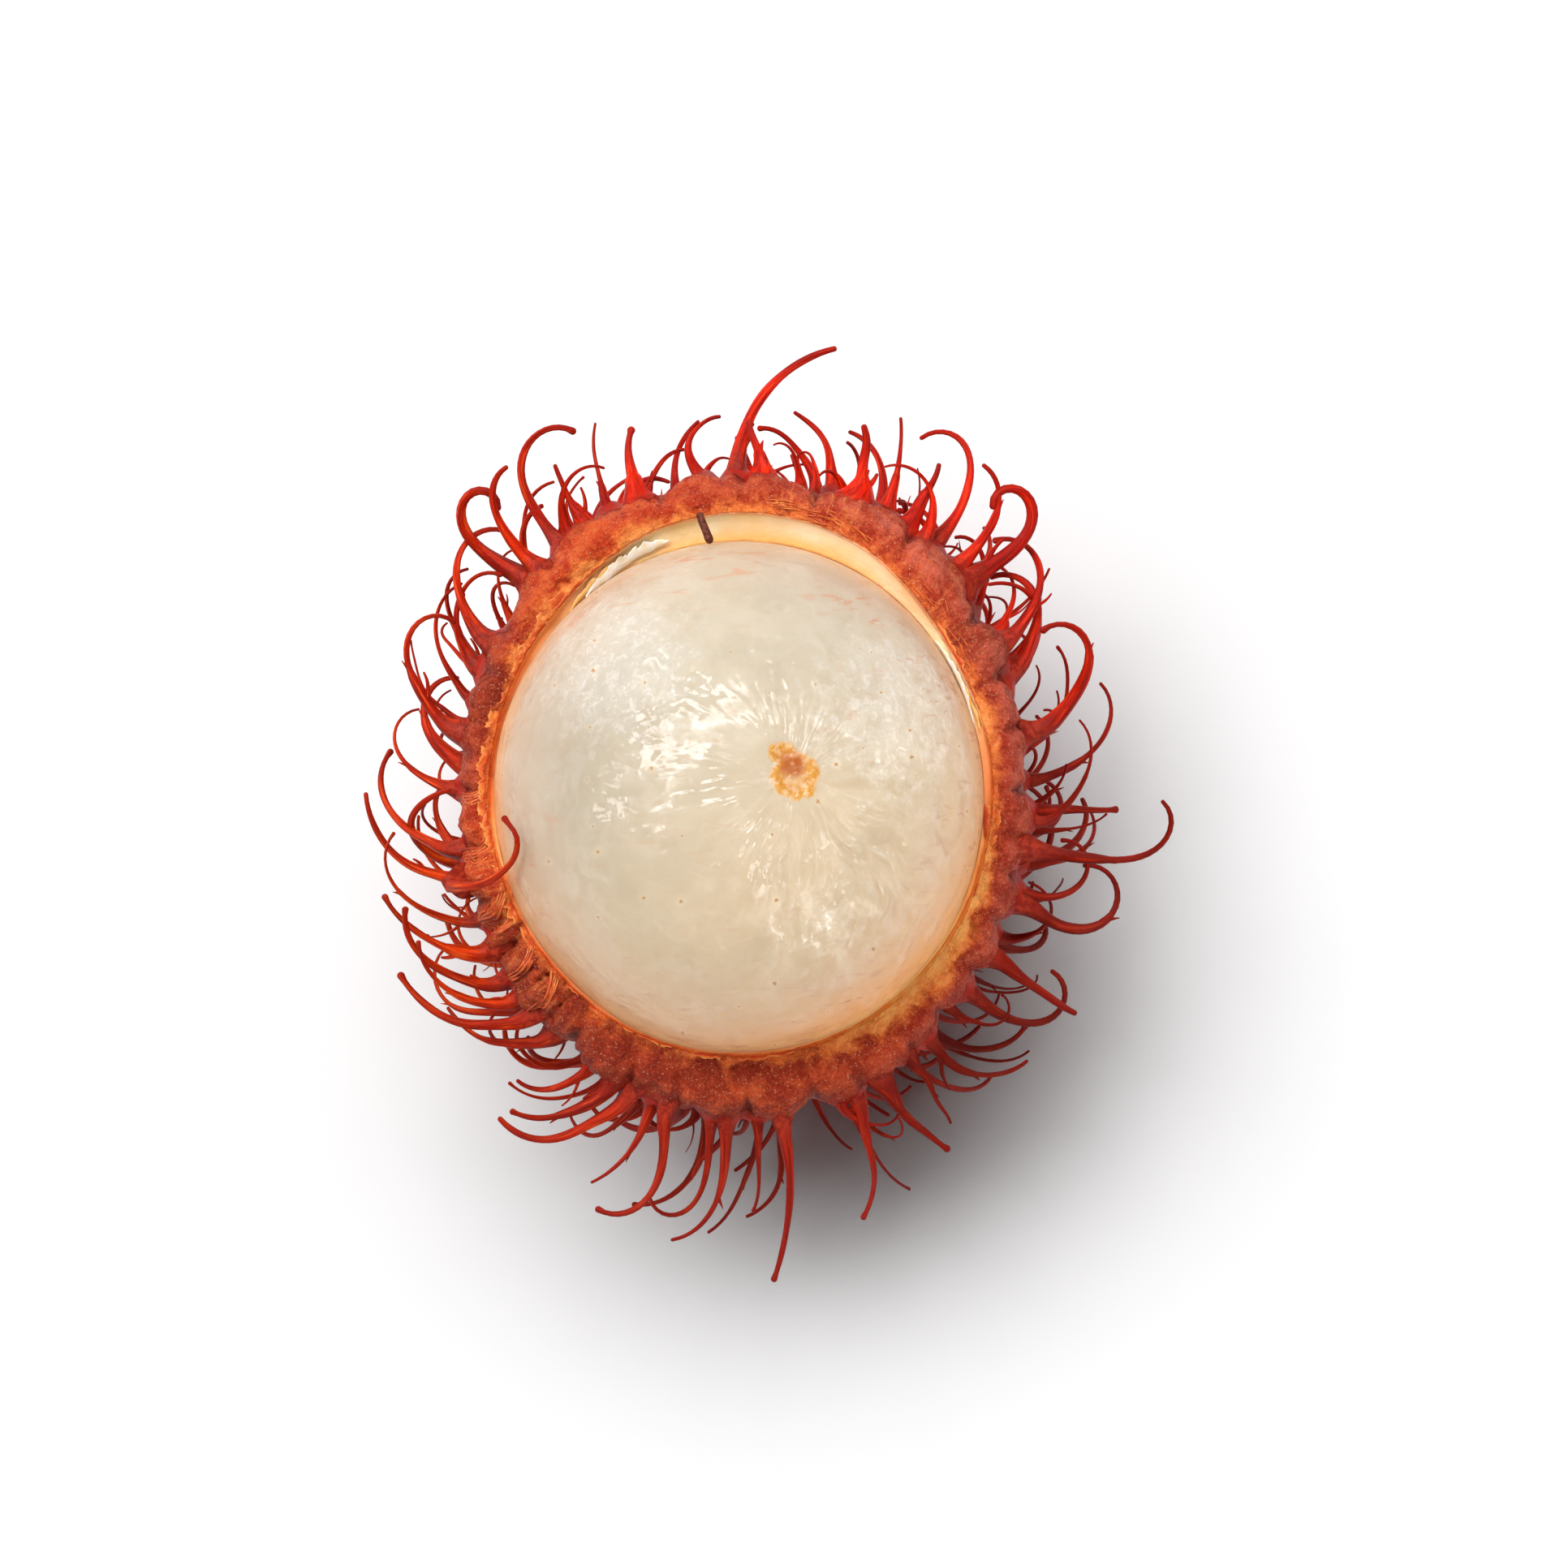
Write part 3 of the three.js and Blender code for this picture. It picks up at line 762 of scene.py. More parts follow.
def rind_finish():
    """Skin, granular cut flesh of the rind, its orange inner band and its smooth lining, by the attribute
    section: below 0 on the skin, 0 to 1 across the cut, and above 1 on the lining."""
    f = Finish("rind_cup", Subsurface_Weight=0.25, Subsurface_Radius=(1, 0.3, 0.1), Subsurface_Scale=0.4 * MM,
               Specular_IOR_Level=0.12)
    section, crease, near = f.attributes("section", "crease", "near")
    orange, dark, vivid, rosy, pale, fibrous = f.attributes(*CUT_TINTS)
    grain = f.noise(0.22, 3, 0.75)
    lump = f.noise(1.5, 4, 0.6, 0.4)
    wide = f.noise(4.0, 2)
    wander = section + (lump - 0.5) * 0.8
    turn = f.azimuth() * RIND.half[0]
    spoke = f.noise(0.45, 4, 0.65, 0.3, f.combine(turn, section * 0.9))
    shred = f.noise(0.5, 4, 0.65, 0.5, f.combine(turn * 0.4, section * 4.0))
    reach = orange * 0.34

    skin = f.coats(
        f.mix(f.remap(lump, 0.35, 0.7), (0.24, 0.014, 0.007), (0.42, 0.026, 0.010)),
        creases=(crease * f.remap(wide, 0.42, 0.62), (0.24, 0.085, 0.07)),
        round_spines=(near, (0.34, 0.012, 0.004)),
    )
    patch = f.remap(lump, 0.38, 0.62)
    plain = f.mix(patch, (0.30, 0.020, 0.007), (0.45, 0.050, 0.017))
    bright = f.mix(patch, (0.48, 0.034, 0.007), (0.64, 0.10, 0.022))
    dusty = rosy * f.remap(lump, 0.4, 0.62, 0.15, 1.0)
    band = f.mix(f.remap(grain, 0.35, 0.65), (0.74, 0.13, 0.018), (0.88, 0.26, 0.06))
    band_edge = f.remap(wander + reach * 0.7, 0.90, 1.20) * f.remap(orange, 0.2, 0.9)
    crack = f.remap(shred, 0.47, 0.36) * (fibrous * f.remap(section, 0.35, 0.6))
    cut = f.coats(
        f.mix(vivid, plain, bright),
        dark_patches=(dark * f.remap(lump, 0.66, 0.42, 0.35, 0.95), (0.18, 0.018, 0.008)),
        pale_fibres=(fibrous * f.remap(spoke, 0.5, 0.66, 0, 0.6), (0.85, 0.28, 0.07)),
        # Painted shade between the pale fibres.
        between_fibres=(f.remap(spoke, 0.47, 0.33) * 0.4, (0.26, 0.016, 0.004)),
        dust=(dusty * f.remap(section, 0.9, 0.4, 0.1, 0.55), (0.62, 0.16, 0.11)),
        light_grains=(f.remap(grain, 0.5, 0.66) * 0.42, (0.64, 0.145, 0.055)),
        dark_grains=(f.remap(grain, 0.47, 0.33) * 0.5, (0.24, 0.014, 0.004)),
        # Painted shade in the creases between the lobes of the cut.
        creases=(crease * f.remap(section, 0.5, 0.1, 0.0, 0.65), (0.14, 0.02, 0.012)),
        inner_band=(f.remap(wander + reach, 0.84, 1.2), band),
        inner_edge=(band_edge, (1.0, 0.48, 0.135)),
        cracks=(crack * 0.9, (0.36, 0.035, 0.006)),
        round_spines=(near * f.remap(section, 0.5, 0.1, 0.0, 0.8), (0.27, 0.016, 0.010)),
    )
    warm = f.mix(orange, (0.80, 0.20, 0.06), (0.97, 0.38, 0.09))
    warmer = f.mix(orange, (0.90, 0.28, 0.09), (0.98, 0.45, 0.13))
    lining = f.coats(
        f.mix(pale, warm, (0.96, 0.72, 0.37)),
        patches=(f.remap(wide, 0.35, 0.65), f.mix(pale, warmer, (0.97, 0.84, 0.58))),
        deep_down=(f.remap(section, 1.14, 1.26), f.mix(pale, warm, (0.95, 0.56, 0.20))),
    )
    away, pick, _ = f.cells(0.26)
    dots = f.remap(away, 0.26, 0.14) * f.remap(pick, 0.45, 0.5)
    on_cut = f.remap(section, -0.12, 0.02) * f.remap(section, 1.03, 0.97)
    colour = f.coats(
        skin,
        cut=(f.remap(section + grain * 0.08, -0.06, 0.06), cut),
        lining=(f.remap(section, 0.98, 1.04), lining),
        # The pale specks are partly pale grains of the cut and partly painted glints.
        specks=(dots * on_cut * 0.45, (0.92, 0.55, 0.36)),
    )
    relief = (grain + dots * 0.3 + spoke * 0.5) * on_cut
    return f.done(Base_Color=colour, Roughness=f.remap(grain, 0.3, 0.7, 0.6, 0.35),
                  Normal=f.bump(relief, 0.26, f.bump(f.noise(0.7, 4, 0.6), 0.12)))


def spine_finish():
    """Red, darker towards the tip, with painted shade in its grooves and on the shaded sides, and orange-brown
    where it leaves the rind.
    """
    f = Finish("rind_spines", Subsurface_Weight=0.25, Subsurface_Radius=(1, 0.1, 0.03), Subsurface_Scale=0.2 * MM,
               Specular_IOR_Level=0.09)
    along, item, furrow, side, front, warm, shade = f.attributes(*TUBE_VALUES, *SPINE_TINTS)
    streak = f.noise(0.5, 4, 0.6, 0.6)
    stripe = f.noise(0.55, 4, 0.6, 0.3, f.combine(side, front, along * 2.2 + item * 90.0))
    own = f.remap(item, 0, 1)
    red = f.mix(own, (0.34, 0.004, 0.0), (0.66, 0.012, 0.0))
    orange = f.mix(own, (0.38, 0.018, 0.0), (0.62, 0.042, 0.001))
    # Painted shade: on the sides that the fruit shades, the spines are painted a darker red and their light
    # stripes and patches are dimmed.
    brick = f.mix(own, (0.12, 0.006, 0.002), (0.22, 0.010, 0.003))
    lit = 1.0 - shade * 0.75
    stripes = f.mix(warm, (0.86, 0.05, 0.008), (0.84, 0.13, 0.012))
    shaft = f.coats(
        f.mix(shade, f.mix(warm, red, orange), brick),
        # Painted shade in the grooves along each spine.
        furrows=(f.remap(furrow, 0.15, 0.85) * 0.6, (0.15, 0.002, 0.0)),
        light_stripes=(f.remap(stripe, 0.52, 0.64) * (lit * 0.55), stripes),
        dark_stripes=(f.remap(stripe, 0.48, 0.36) * 0.7, (0.13, 0.004, 0.001)),
        patches=(f.remap(f.noise(3.0, 2), 0.48, 0.7) * (lit * 0.35), (0.36, 0.008, 0.001)),
        tip=(f.remap(along + (item - 0.5) * 0.3, 0.55, 1.0) * 0.6, (0.17, 0.004, 0.002)),
    )
    root = f.mix(f.remap(streak, 0.4, 0.62), (0.20, 0.012, 0.006), (0.36, 0.034, 0.014))
    colour = f.mix(f.remap(along + (streak - 0.5) * 0.16, 0.12, 0.32), root, shaft)
    return f.done(Base_Color=colour, Roughness=f.remap(streak, 0.3, 0.7, 0.28, 0.5),
                  Normal=f.bump(stripe, 0.12, f.bump(f.noise(0.3, 3, 0.6, 1.0), 0.05)))


def flesh_finish():
    """Milky, translucent fruit flesh, wet, with fine fibres and a small ochre scar, and painted light and shade
    on its sides and near the rind.
    """
    f = Finish("flesh", Subsurface_Weight=1.0, Subsurface_Radius=(1.0, 0.85, 0.7), Subsurface_Scale=7.0 * MM,
               Specular_IOR_Level=0.12, Coat_Roughness=0.07, Coat_IOR=1.5)
    ribbed, low, border, cream, lee, west, edge = f.attributes(
        "ribbed", "low", "border", "cream", "lee", "west", "edge")
    # Folds and ripples run out from the scar: a place in which every direction from it is as wide.
    turn = f.azimuth(f.vector("SUBTRACT", {0: f.place, 1: (*SCAR, 0)})[0])
    rays = f.combine(f.math("COSINE", turn) * 7.0, f.math("SINE", turn) * 7.0, f.distance_from(*SCAR) * 0.4)
    fibre = f.noise(1.0, 5, 0.65, 0.5, f.stretched((0.3, 1.6, 0.5), (0, 0, math.radians(-28))))
    creamy = f.remap(cream + (f.noise(1.3, 6, 0.7) - 0.5) * 1.5, 0.35, 0.95) * 0.55
    lace = creamy * f.remap(f.noise(0.6, 5, 0.7, 0.8), 0.48, 0.62)
    ribs = ribbed * f.remap(f.noise(1.1, 4, 0.65, 0.4, rays), 0.46, 0.72)
    streaks = f.remap(fibre, 0.55, 0.64) * f.remap(f.noise(5, 2), 0.42, 0.62)
    away, pick, own = f.cells(3.0, voronoi_dimensions="2D")
    away = (away + (f.noise(0.22, 2) - 0.5) * 0.11) / f.remap(own, 0, 1, 0.35, 1.3)
    chosen = f.remap(pick, 0.5, 0.52)
    colour = f.coats(
        f.mix(f.remap(f.noise(7, 4, 0.55, 0.8), 0.38, 0.62), (0.435, 0.372, 0.28), (0.485, 0.425, 0.33)),
        # Painted light and shade: the side away from the key lamps is painted lighter and warmer, and so are the
        # milk, cream and lace there. The -X side that faces the lamps is painted darker.
        lee_side=(lee, (0.61, 0.48, 0.325)),
        west_side=(west, (0.36, 0.308, 0.243)),
        milk=(f.remap(f.noise(2.6, 5, 0.6, 1.0), 0.52, 0.7) * 0.2,
              f.mix(lee, (0.56, 0.50, 0.41), (0.82, 0.69, 0.53))),
        cream=(creamy, f.mix(lee, (0.50, 0.465, 0.405), (0.88, 0.79, 0.66))),
        lace=(lace, f.mix(lee, (0.62, 0.585, 0.53), (0.95, 0.87, 0.76))),
        # Painted warm shade low down and on the side away from the lamps, and a painted orange glow near the rind
        # that stands in for light bounced from it.
        low_down=(low, (0.82, 0.36, 0.13)),
        border=(border, (0.90, 0.41, 0.15)),
        ribs=(ribs * 0.5, (0.90, 0.79, 0.64)),
        streaks=(streaks * edge, (0.52, 0.24, 0.13)),
        halos=(f.remap(away, 0.16, 0.05) * chosen * 0.12, (0.80, 0.66, 0.48)),
        specks=(f.remap(away, 0.04, 0.018) * chosen * 0.8, (0.44, 0.20, 0.06)),
    )

    beads = f.noise(0.42, 3, 0.6)
    waver = (f.noise(0.9, 3, 0.6) - 0.5) * 1.1
    for x, y, radius in SCAR_LOBES:
        away = f.distance_from(x, y) + waver
        disc = f.remap(away, radius + 0.18, radius - 0.1)
        ring = disc * f.remap(away, radius - 1.3, radius - 0.4, 0.35, 1.0)
        colour = f.coats(
            colour,
            disc=(disc * 0.7, (0.70, 0.46, 0.23)),
            ring=(ring * f.remap(beads, 0.40, 0.54, 0.25, 1.0), (0.56, 0.26, 0.03)),
            beads=(disc * f.remap(beads, 0.60, 0.74, 0.0, 0.6), (0.72, 0.60, 0.42)),
        )
    brown = f.remap(f.distance_from(*SCAR_CORE), 1.15, 0.45) * f.remap(beads, 0.28, 0.46)
    colour = f.mix(brown * 0.9, colour, (0.42, 0.11, 0.02))

    # The wet film over the flesh has ripples of its own, which break the lamps' reflections into flecks.
    ripple = f.noise(0.75, 0.5, 0.5, 0.8, rays) + f.noise(0.8, 0.5) * 0.5
    wet = f.remap(f.noise(2.8, 4, 0.6, 0.5), 0.44, 0.56)
    return f.done(Base_Color=colour, Roughness=0.42, Normal=f.bump(f.noise(0.5, 3, 0.6), 0.012),
                  Coat_Normal=f.bump(ripple, wet.spread(0.15, 0.23)),
                  Coat_Weight=wet.spread(0.2, 1.0) * (1.15 - edge))


def torn_finish(name):
    f = Finish(name, Subsurface_Weight=0.3, Subsurface_Radius=(1, 0.5, 0.2), Subsurface_Scale=0.5 * MM,
               Specular_IOR_Level=0.3)
    patch = f.remap(f.noise(0.8, 4, 0.6), 0.35, 0.65)
    low = f.mix(patch, (0.50, 0.05, 0.010), (0.64, 0.10, 0.020))
    bright = f.mix(patch, (0.62, 0.11, 0.020), (0.82, 0.27, 0.055))
    colour = f.mix(f.remap(*f.attributes("up"), 0.3, 0.95), low, bright)
    return f.done(Base_Color=colour, Roughness=0.42, Normal=f.bump(f.noise(0.25, 3), 0.08))


def membrane_finish(name, dark, light):
    f = Finish(name, Subsurface_Weight=0.4, Subsurface_Radius=(1, 0.7, 0.4), Subsurface_Scale=0.5 * MM)
    patch = f.noise(0.8, 4, 0.6, 0.5)
    colour = f.mix(f.remap(patch, 0.35, 0.7), dark, light)
    return f.done(Base_Color=colour, Roughness=0.4, Normal=f.bump(patch, 0.08))


def stub_finish():
    f = Finish("rind_stub", Specular_IOR_Level=0.12)
    patch = f.noise(0.4, 4)
    colour = f.mix(f.remap(patch, 0.35, 0.65), (0.07, 0.014, 0.008), (0.15, 0.042, 0.026))
    return f.done(Base_Color=colour, Roughness=0.5, Normal=f.bump(patch, 0.05))


# ---- the rind ----
def closeness(points, roots):
    """For each point, the swelling of all the roots together, and the nearest and second nearest distances."""
    flat = points.reshape(-1, 3)
    squared = ((flat[:, None] - roots[None]) ** 2).sum(axis=2)
    swell = np.exp(-squared / BUMP_SPREAD ** 2).sum(axis=1)
    nearest = np.sqrt(np.partition(squared, 1, axis=1)[:, :2])
    shape = points.shape[:-1]
    return swell.reshape(shape), nearest[:, 0].reshape(shape), nearest[:, 1].reshape(shape)


def skin_relief(points, roots):
    """How far the skin stands out from the plain cup, and how deep in a crease each point is."""
    swell, first, second = closeness(points, roots)
    crease = np.exp(-((second - first) / 0.5) ** 2)
    below = smoothstep(RIM_HEIGHT - 1.5, RIM_HEIGHT - 5, points[..., 2])
    nipple = 0.45 * np.exp(-(first / 0.95) ** 2) * below
    azimuth = azimuth_of(points)
    lobe, valley = rim_lobes(azimuth, points[..., 2])
    swelling = BUMP_HEIGHT * np.minimum(swell, 1.3) * (0.75 + 0.25 * below)
    relief = swelling + nipple + lobe - slimming(azimuth, points[..., 2]) - 0.42 * crease * below
    return relief, np.maximum(crease * below, valley)


def rim_lobes(azimuth, z):
    """Round lobes side by side along the cut edge. Gives how far they stand out and how deep each point is in the
    narrow valley between two of them."""
    count = len(LOBE_EDGES)
    edges = np.radians(LOBE_EDGES + [LOBE_EDGES[0] + 360])
    turn = (azimuth - edges[0]) % (2 * math.pi) + edges[0]
    lobe = np.clip(np.searchsorted(edges, turn, side="right") - 1, 0, count - 1)
    share = (turn - edges[lobe]) / (edges[lobe + 1] - edges[lobe])
    tall = np.array([between(0.35, 1.25, i, 51) for i in range(count)])[lobe]
    width = (edges[lobe + 1] - edges[lobe]) * RIND.half[0]
    tall = tall * smoothstep(1.0, 4.6, width)
    arch = np.sqrt(np.maximum(0, 1 - (2 * share - 1) ** 2))
    weight = smoothstep(RIM_HEIGHT - 6.5, RIM_HEIGHT - 2.5, z)
    valley = np.exp(-(np.minimum(share, 1 - share) * width / 0.4) ** 2)
    return weight * LOBE_HEIGHT * tall * (arch - 0.72), weight * valley


def cup_grid(roots):
    """Points of the cup, row by row from its foot up the outside, over the cut edge and down the inside."""
    azimuth = np.linspace(0, 2 * math.pi, RIND_COLUMNS, endpoint=False)
    rim = rim_height(azimuth)
    lowest = math.asin(-RIND.centre[2] / RIND.half[2])
    highest = np.arcsin((rim - RIM_OUTER_DROP - RIND.centre[2]) / RIND.half[2])
    climb = np.linspace(0, 1, OUTER_ROWS + 1)[:, None]
    rise = lowest + (highest - lowest) * climb
    plain = RIND.at(azimuth[None], RIND.centre[2] + RIND.half[2] * np.sin(rise))
    relief, crease = skin_relief(plain, roots)
    relief = relief * smoothstep(0, 0.06, climb)
    relief = relief + 0.1 * lumps(plain, 1.1, 3, 1) * smoothstep(0, 0.06, climb)
    outer = plain + RIND.normal(plain) * relief[..., None]
    outer[..., 2] = np.maximum(outer[..., 2], 0)

    edge = RIND.at(azimuth, rim)
    edge_relief, edge_crease = skin_relief(edge, roots)
    outer_edge = outward(edge, edge_relief - RIM_IN)
    inner_edge = outward(cut_edge(azimuth, rim), 0.08)
    lining = lining_rows(azimuth)

    knots = np.stack([outer[-1], outer_edge, inner_edge, lining[0]])
    before = outer[-1] - (outer[-1] - outer[-3]) * 1.5
    ends = np.concatenate([before[None], knots, (2 * lining[0] - inner_edge)[None]])
    over = []
    for k, count in enumerate((LIP_ROWS, CUT_ROWS, LIP_ROWS)):
        t = np.linspace(0, 1, count, endpoint=False)[1 if k == 0 else 0:, None, None]
        over.append(curve_part(*ends[k:k + 4], t))
    points = np.concatenate([outer, *over, lining])

    walked = np.concatenate([np.zeros((1, RIND_COLUMNS)),
                             np.cumsum(np.linalg.norm(np.diff(points, axis=0), axis=2), axis=0)])
    outer_row = OUTER_ROWS + LIP_ROWS
    inner_row = outer_row + CUT_ROWS
    begin = walked[outer_row] - CUT_BELOW
    section = (walked - begin) / (walked[inner_row] - begin)
    section = np.where(section < 0, walked - begin, section)
    section = np.where(section > 1, 1 + (walked - walked[inner_row]) / 10, section)
    top = OUTER_ROWS + 1
    deep = np.zeros_like(section)
    deep[:top] = crease
    deep[top:] = edge_crease[None] * np.clip(1.5 - 1.6 * section[top:], 0, 1)
    return azimuth, points, section, deep


def slope_ends(azimuth):
    """The upper and lower ends of the slope that runs from the cut edge to the flesh. Where the gap is narrow,
    the slope is shallow."""
    rim = rim_height(azimuth)
    gap = np.linalg.norm(cut_edge(azimuth, rim) - FLESH.at(azimuth, rim), axis=-1)
    deep = smoothstep(0.2, 1.1, gap)
    below = deep * (GROOVE_DEPTH + directed(azimuth, WIDE_GROOVES)) - (1 - deep) * CLING
    close = FLESH.at(azimuth, rim - 0.04 - below)
    return cut_edge(azimuth, rim - 0.02 - deep * RIM_INNER_DROP * 0.6), close - FLESH.normal(close) * TOUCH


def lining_rows(azimuth):
    """The inside of the cup: a slope from the cut edge to the flesh, which it then follows down to the bottom."""
    slope_rows = LINING_ROWS // 2
    top, close = slope_ends(azimuth)
    down = np.linspace(0, 1, slope_rows, endpoint=False)[:, None, None]
    slope = top[None] * (1 - down) + close[None] * down
    depth = rim_height(azimuth) - close[:, 2]
    slope[..., 2] -= np.maximum(depth - 0.6, 0) * 0.15 * np.sin(np.pi * down[..., 0])
    start = np.arcsin((close[:, 2] - FLESH.centre[2]) / FLESH.half[2])
    fall = np.linspace(0, 1, LINING_ROWS - slope_rows)[:, None]
    under = FLESH.at(azimuth[None], FLESH.centre[2] + FLESH.half[2] * np.sin(start + (-1.5 - start) * fall))
    under = under + FLESH.normal(under) * CLEARANCE
    return np.concatenate([slope, under])


def cut_relief(points, section):
    """Lumps, grain and, on the -X side, ridges that run across the cut face, in millimetres."""
    near_cut = smoothstep(-0.3, 0.05, section) * smoothstep(1.04, 0.97, section)
    azimuth = azimuth_of(points)
    broad = 0.34 * lumps(points, 2.2, 3, 2)
    grain = 0.1 * lumps(points, 0.45, 3, 3)
    around = np.stack([np.cos(azimuth) * RIND.half[0], np.sin(azimuth) * RIND.half[0], section * 0.9], axis=-1)
    ridged = 1 - 2.2 * np.abs(lumps(around, 1.5, 2, 4))
    side = sector(azimuth, 205, 22) + 0.5 * sector(azimuth, 250, 25) + 0.12
    pits = -0.9 * smoothstep(0.45, 0.75, lumps(points, 1.7, 2, 8)) * (0.25 + sector(azimuth, 215, 30))
    middle = smoothstep(0.1, 0.4, section) * smoothstep(1.0, 0.8, section)
    lobe, valley = rim_lobes(azimuth, np.full_like(azimuth, RIM_HEIGHT))
    rounded_off = smoothstep(0.95, 0.35, section)
    lumped = 0
    for centre, share, around_size, across_size, height in CUT_LUMPS:
        away = degrees_past(azimuth, centre) * math.radians(RIND.half[0])
        over = (section - share) * CUT_WIDTH
        lumped = lumped + height * np.exp(-(away / around_size) ** 2 - (over / across_size) ** 2)
    return near_cut * (0.75 * broad + grain + 0.42 * ridged * side + pits * middle + lumped
                       + rounded_off * (0.8 * lobe - 0.28 * valley))


@dataclass
class Cup:
    """The cup's points, row by row, with where each lies on the section through the rind."""
    azimuth: np.ndarray
    points: np.ndarray
    section: np.ndarray
    crease: np.ndarray

    def over(self, azimuth, share):
        """The point of the cut at an azimuth in radians and a share of the way over it."""
        column = int(round(azimuth / (2 * math.pi) * RIND_COLUMNS)) % RIND_COLUMNS
        return np.array([np.interp(share, self.section[:, column], self.points[:, column, k]) for k in range(3)])


def make_cup(roots):
    azimuth, points, section, crease = cup_grid(roots)
    points = points + grid_normals(points) * cut_relief(points, section)[..., None]
    points[..., 2] = np.maximum(points[..., 2], 0)
    return Cup(azimuth, points, section, crease)


def add_cup(cup, roots):
    rows = len(cup.points)
    foot = [0, 0, 0]
    bottom = [FLESH.centre[0], FLESH.centre[1], FLESH.centre[2] - FLESH.half[2] - CLEARANCE]
    points = np.vstack([cup.points.reshape(-1, 3), [foot, bottom]])
    faces = grid_faces(rows, RIND_COLUMNS)
    faces += fan_faces(len(points) - 2, 0, RIND_COLUMNS, True)
    faces += fan_faces(len(points) - 1, (rows - 1) * RIND_COLUMNS, RIND_COLUMNS, False)
    values = {"crease": cup.crease, "near": smoothstep(1.9, 0.5, closeness(cup.points, roots)[1])}
    for name, parts in CUT_TINTS.items():
        values[name] = tinted(cup.azimuth, parts, ORANGE_EVERYWHERE if name == "orange" else 0)
    values = {name: np.append(np.broadcast_to(value, cup.section.shape), [0, 0])
              for name, value in values.items()}
    values["section"] = np.append(cup.section, END_SECTIONS)
    add_mesh("rind_cup", points, faces, rind_finish(), values, "rind")


def add_spines(name, spines, finish, replaces=None):
    tubes = Tubes()
    for spine in spines:
        add_spine(tubes, spine)
    azimuth = azimuth_of(np.vstack(tubes.points))
    values = {key: np.concatenate(parts) for key, parts in tubes.values.items()}
    values |= {key: tinted(azimuth, parts) for key, parts in SPINE_TINTS.items()}
    tubes.make(name, finish, values, replaces)


def add_sheet(name, sheet, half, faces, finish):
    """A thin closed skin round a sheet of points stored row by row. half is how far its front stands off the
    sheet."""
    share = np.linspace(0, 1, len(sheet))
    values = np.repeat(np.concatenate([share, share[::-1]]), sheet.shape[1])
    add_mesh(name, np.concatenate([sheet + half, (sheet - half)[::-1]]).reshape(-1, 3), faces, finish,
             {"up": values})


def add_torn_ribbon(name, seed, out, lift, reach, size, wide):
    """A thin ribbon round the cut's inner edge."""
    azimuth = np.linspace(0, 2 * math.pi, TORN_COLUMNS, endpoint=False)
    there = tinted(azimuth, wide)
    shown = smoothstep(0.03, 0.25, there)
    foot = outward(cut_edge(azimuth, rim_height(azimuth) - 0.4), out)
    ragged = 0.35 + 0.65 * smoothstep(-0.5, 0.6, lumps(foot, size, 4, seed))
    fine = lumps(foot, 0.4, 4, seed + 1)
    width = there * reach * ragged + 0.16 * np.clip(fine, -1, 1) * (0.3 + there)
    width = 0.05 + np.maximum(width, 0) * shown
    radial = unit(foot * np.array([1, 1, 0]))
    share = np.linspace(0, 1, TORN_ROWS)[:, None]
    curl = smoothstep(-0.2, 0.7, lumps(foot, 1.9, 3, seed + 2))
    rise = 0.45 * smoothstep(0, 0.3, share) * shown + (lift + 0.25 * curl[None]) * there * share ** 1.5
    crumple = 0.08 * lumps(foot[None] + radial[None] * (width * share * 2)[..., None], 0.6, 2, seed + 4) * share
    sheet = foot[None] + UP * (rise + crumple * shown)[..., None] + radial[None] * (width * share)[..., None]
    thickness = (TORN_THICKNESS * (1 - 0.7 * share))[..., None]
    tilt = unit(np.cross(np.roll(sheet, -1, axis=1) - np.roll(sheet, 1, axis=1), np.gradient(sheet, axis=0)))
    faces = [(a, d, c, b) for a, b, c, d in grid_faces(2 * TORN_ROWS, TORN_COLUMNS, looped=True)]
    add_sheet(name, sheet, -tilt * thickness * 0.5, faces, torn_finish(name))


def add_strip(number, name, first, last, first_up, last_up, width, kind):
    """A thin closed strip on the slope inside the cut."""
    azimuth = np.radians(np.linspace(first, last, STRIP_COLUMNS))
    top, close = slope_ends(azimuth)
    share = np.linspace(0, 1, STRIP_COLUMNS)
    spindle = np.sin(np.pi * np.clip(share, 0.02, 0.98)) ** 0.6
    start = first_up + (last_up - first_up) * share + 0.08 * lumps(close, 1.2, 2, 33 + number)
    widths = width * spindle * (1 + 0.4 * lumps(close, 0.6, 4, 30 + number))
    line = close + (top - close) * start[:, None] + UP * 0.14
    climb = np.linspace(0, 1, STRIP_ROWS)[:, None, None]
    sheet = line[None] + unit(top - close + UP * 0.15)[None] * (widths[None, :, None] * climb)
    normals = unit(np.cross(np.gradient(sheet, axis=1), np.gradient(sheet, axis=0)) + 1e-9)
    edge = np.sin(np.pi * np.clip(climb, 0.04, 0.96))
    corners = range(0, 2 * STRIP_ROWS * STRIP_COLUMNS, STRIP_COLUMNS)
    faces = grid_faces(2 * STRIP_ROWS, STRIP_COLUMNS, closed=False, looped=True)
    faces += [tuple(corners), tuple(corner + STRIP_COLUMNS - 1 for corner in reversed(corners))]
    finish = torn_finish(name) if kind == "torn" else membrane_finish(name, *MEMBRANE_COLOURS[kind])
    add_sheet(name, sheet, normals * STRIP_THICKNESS * 0.5 * (0.25 + 0.75 * edge), faces, finish)


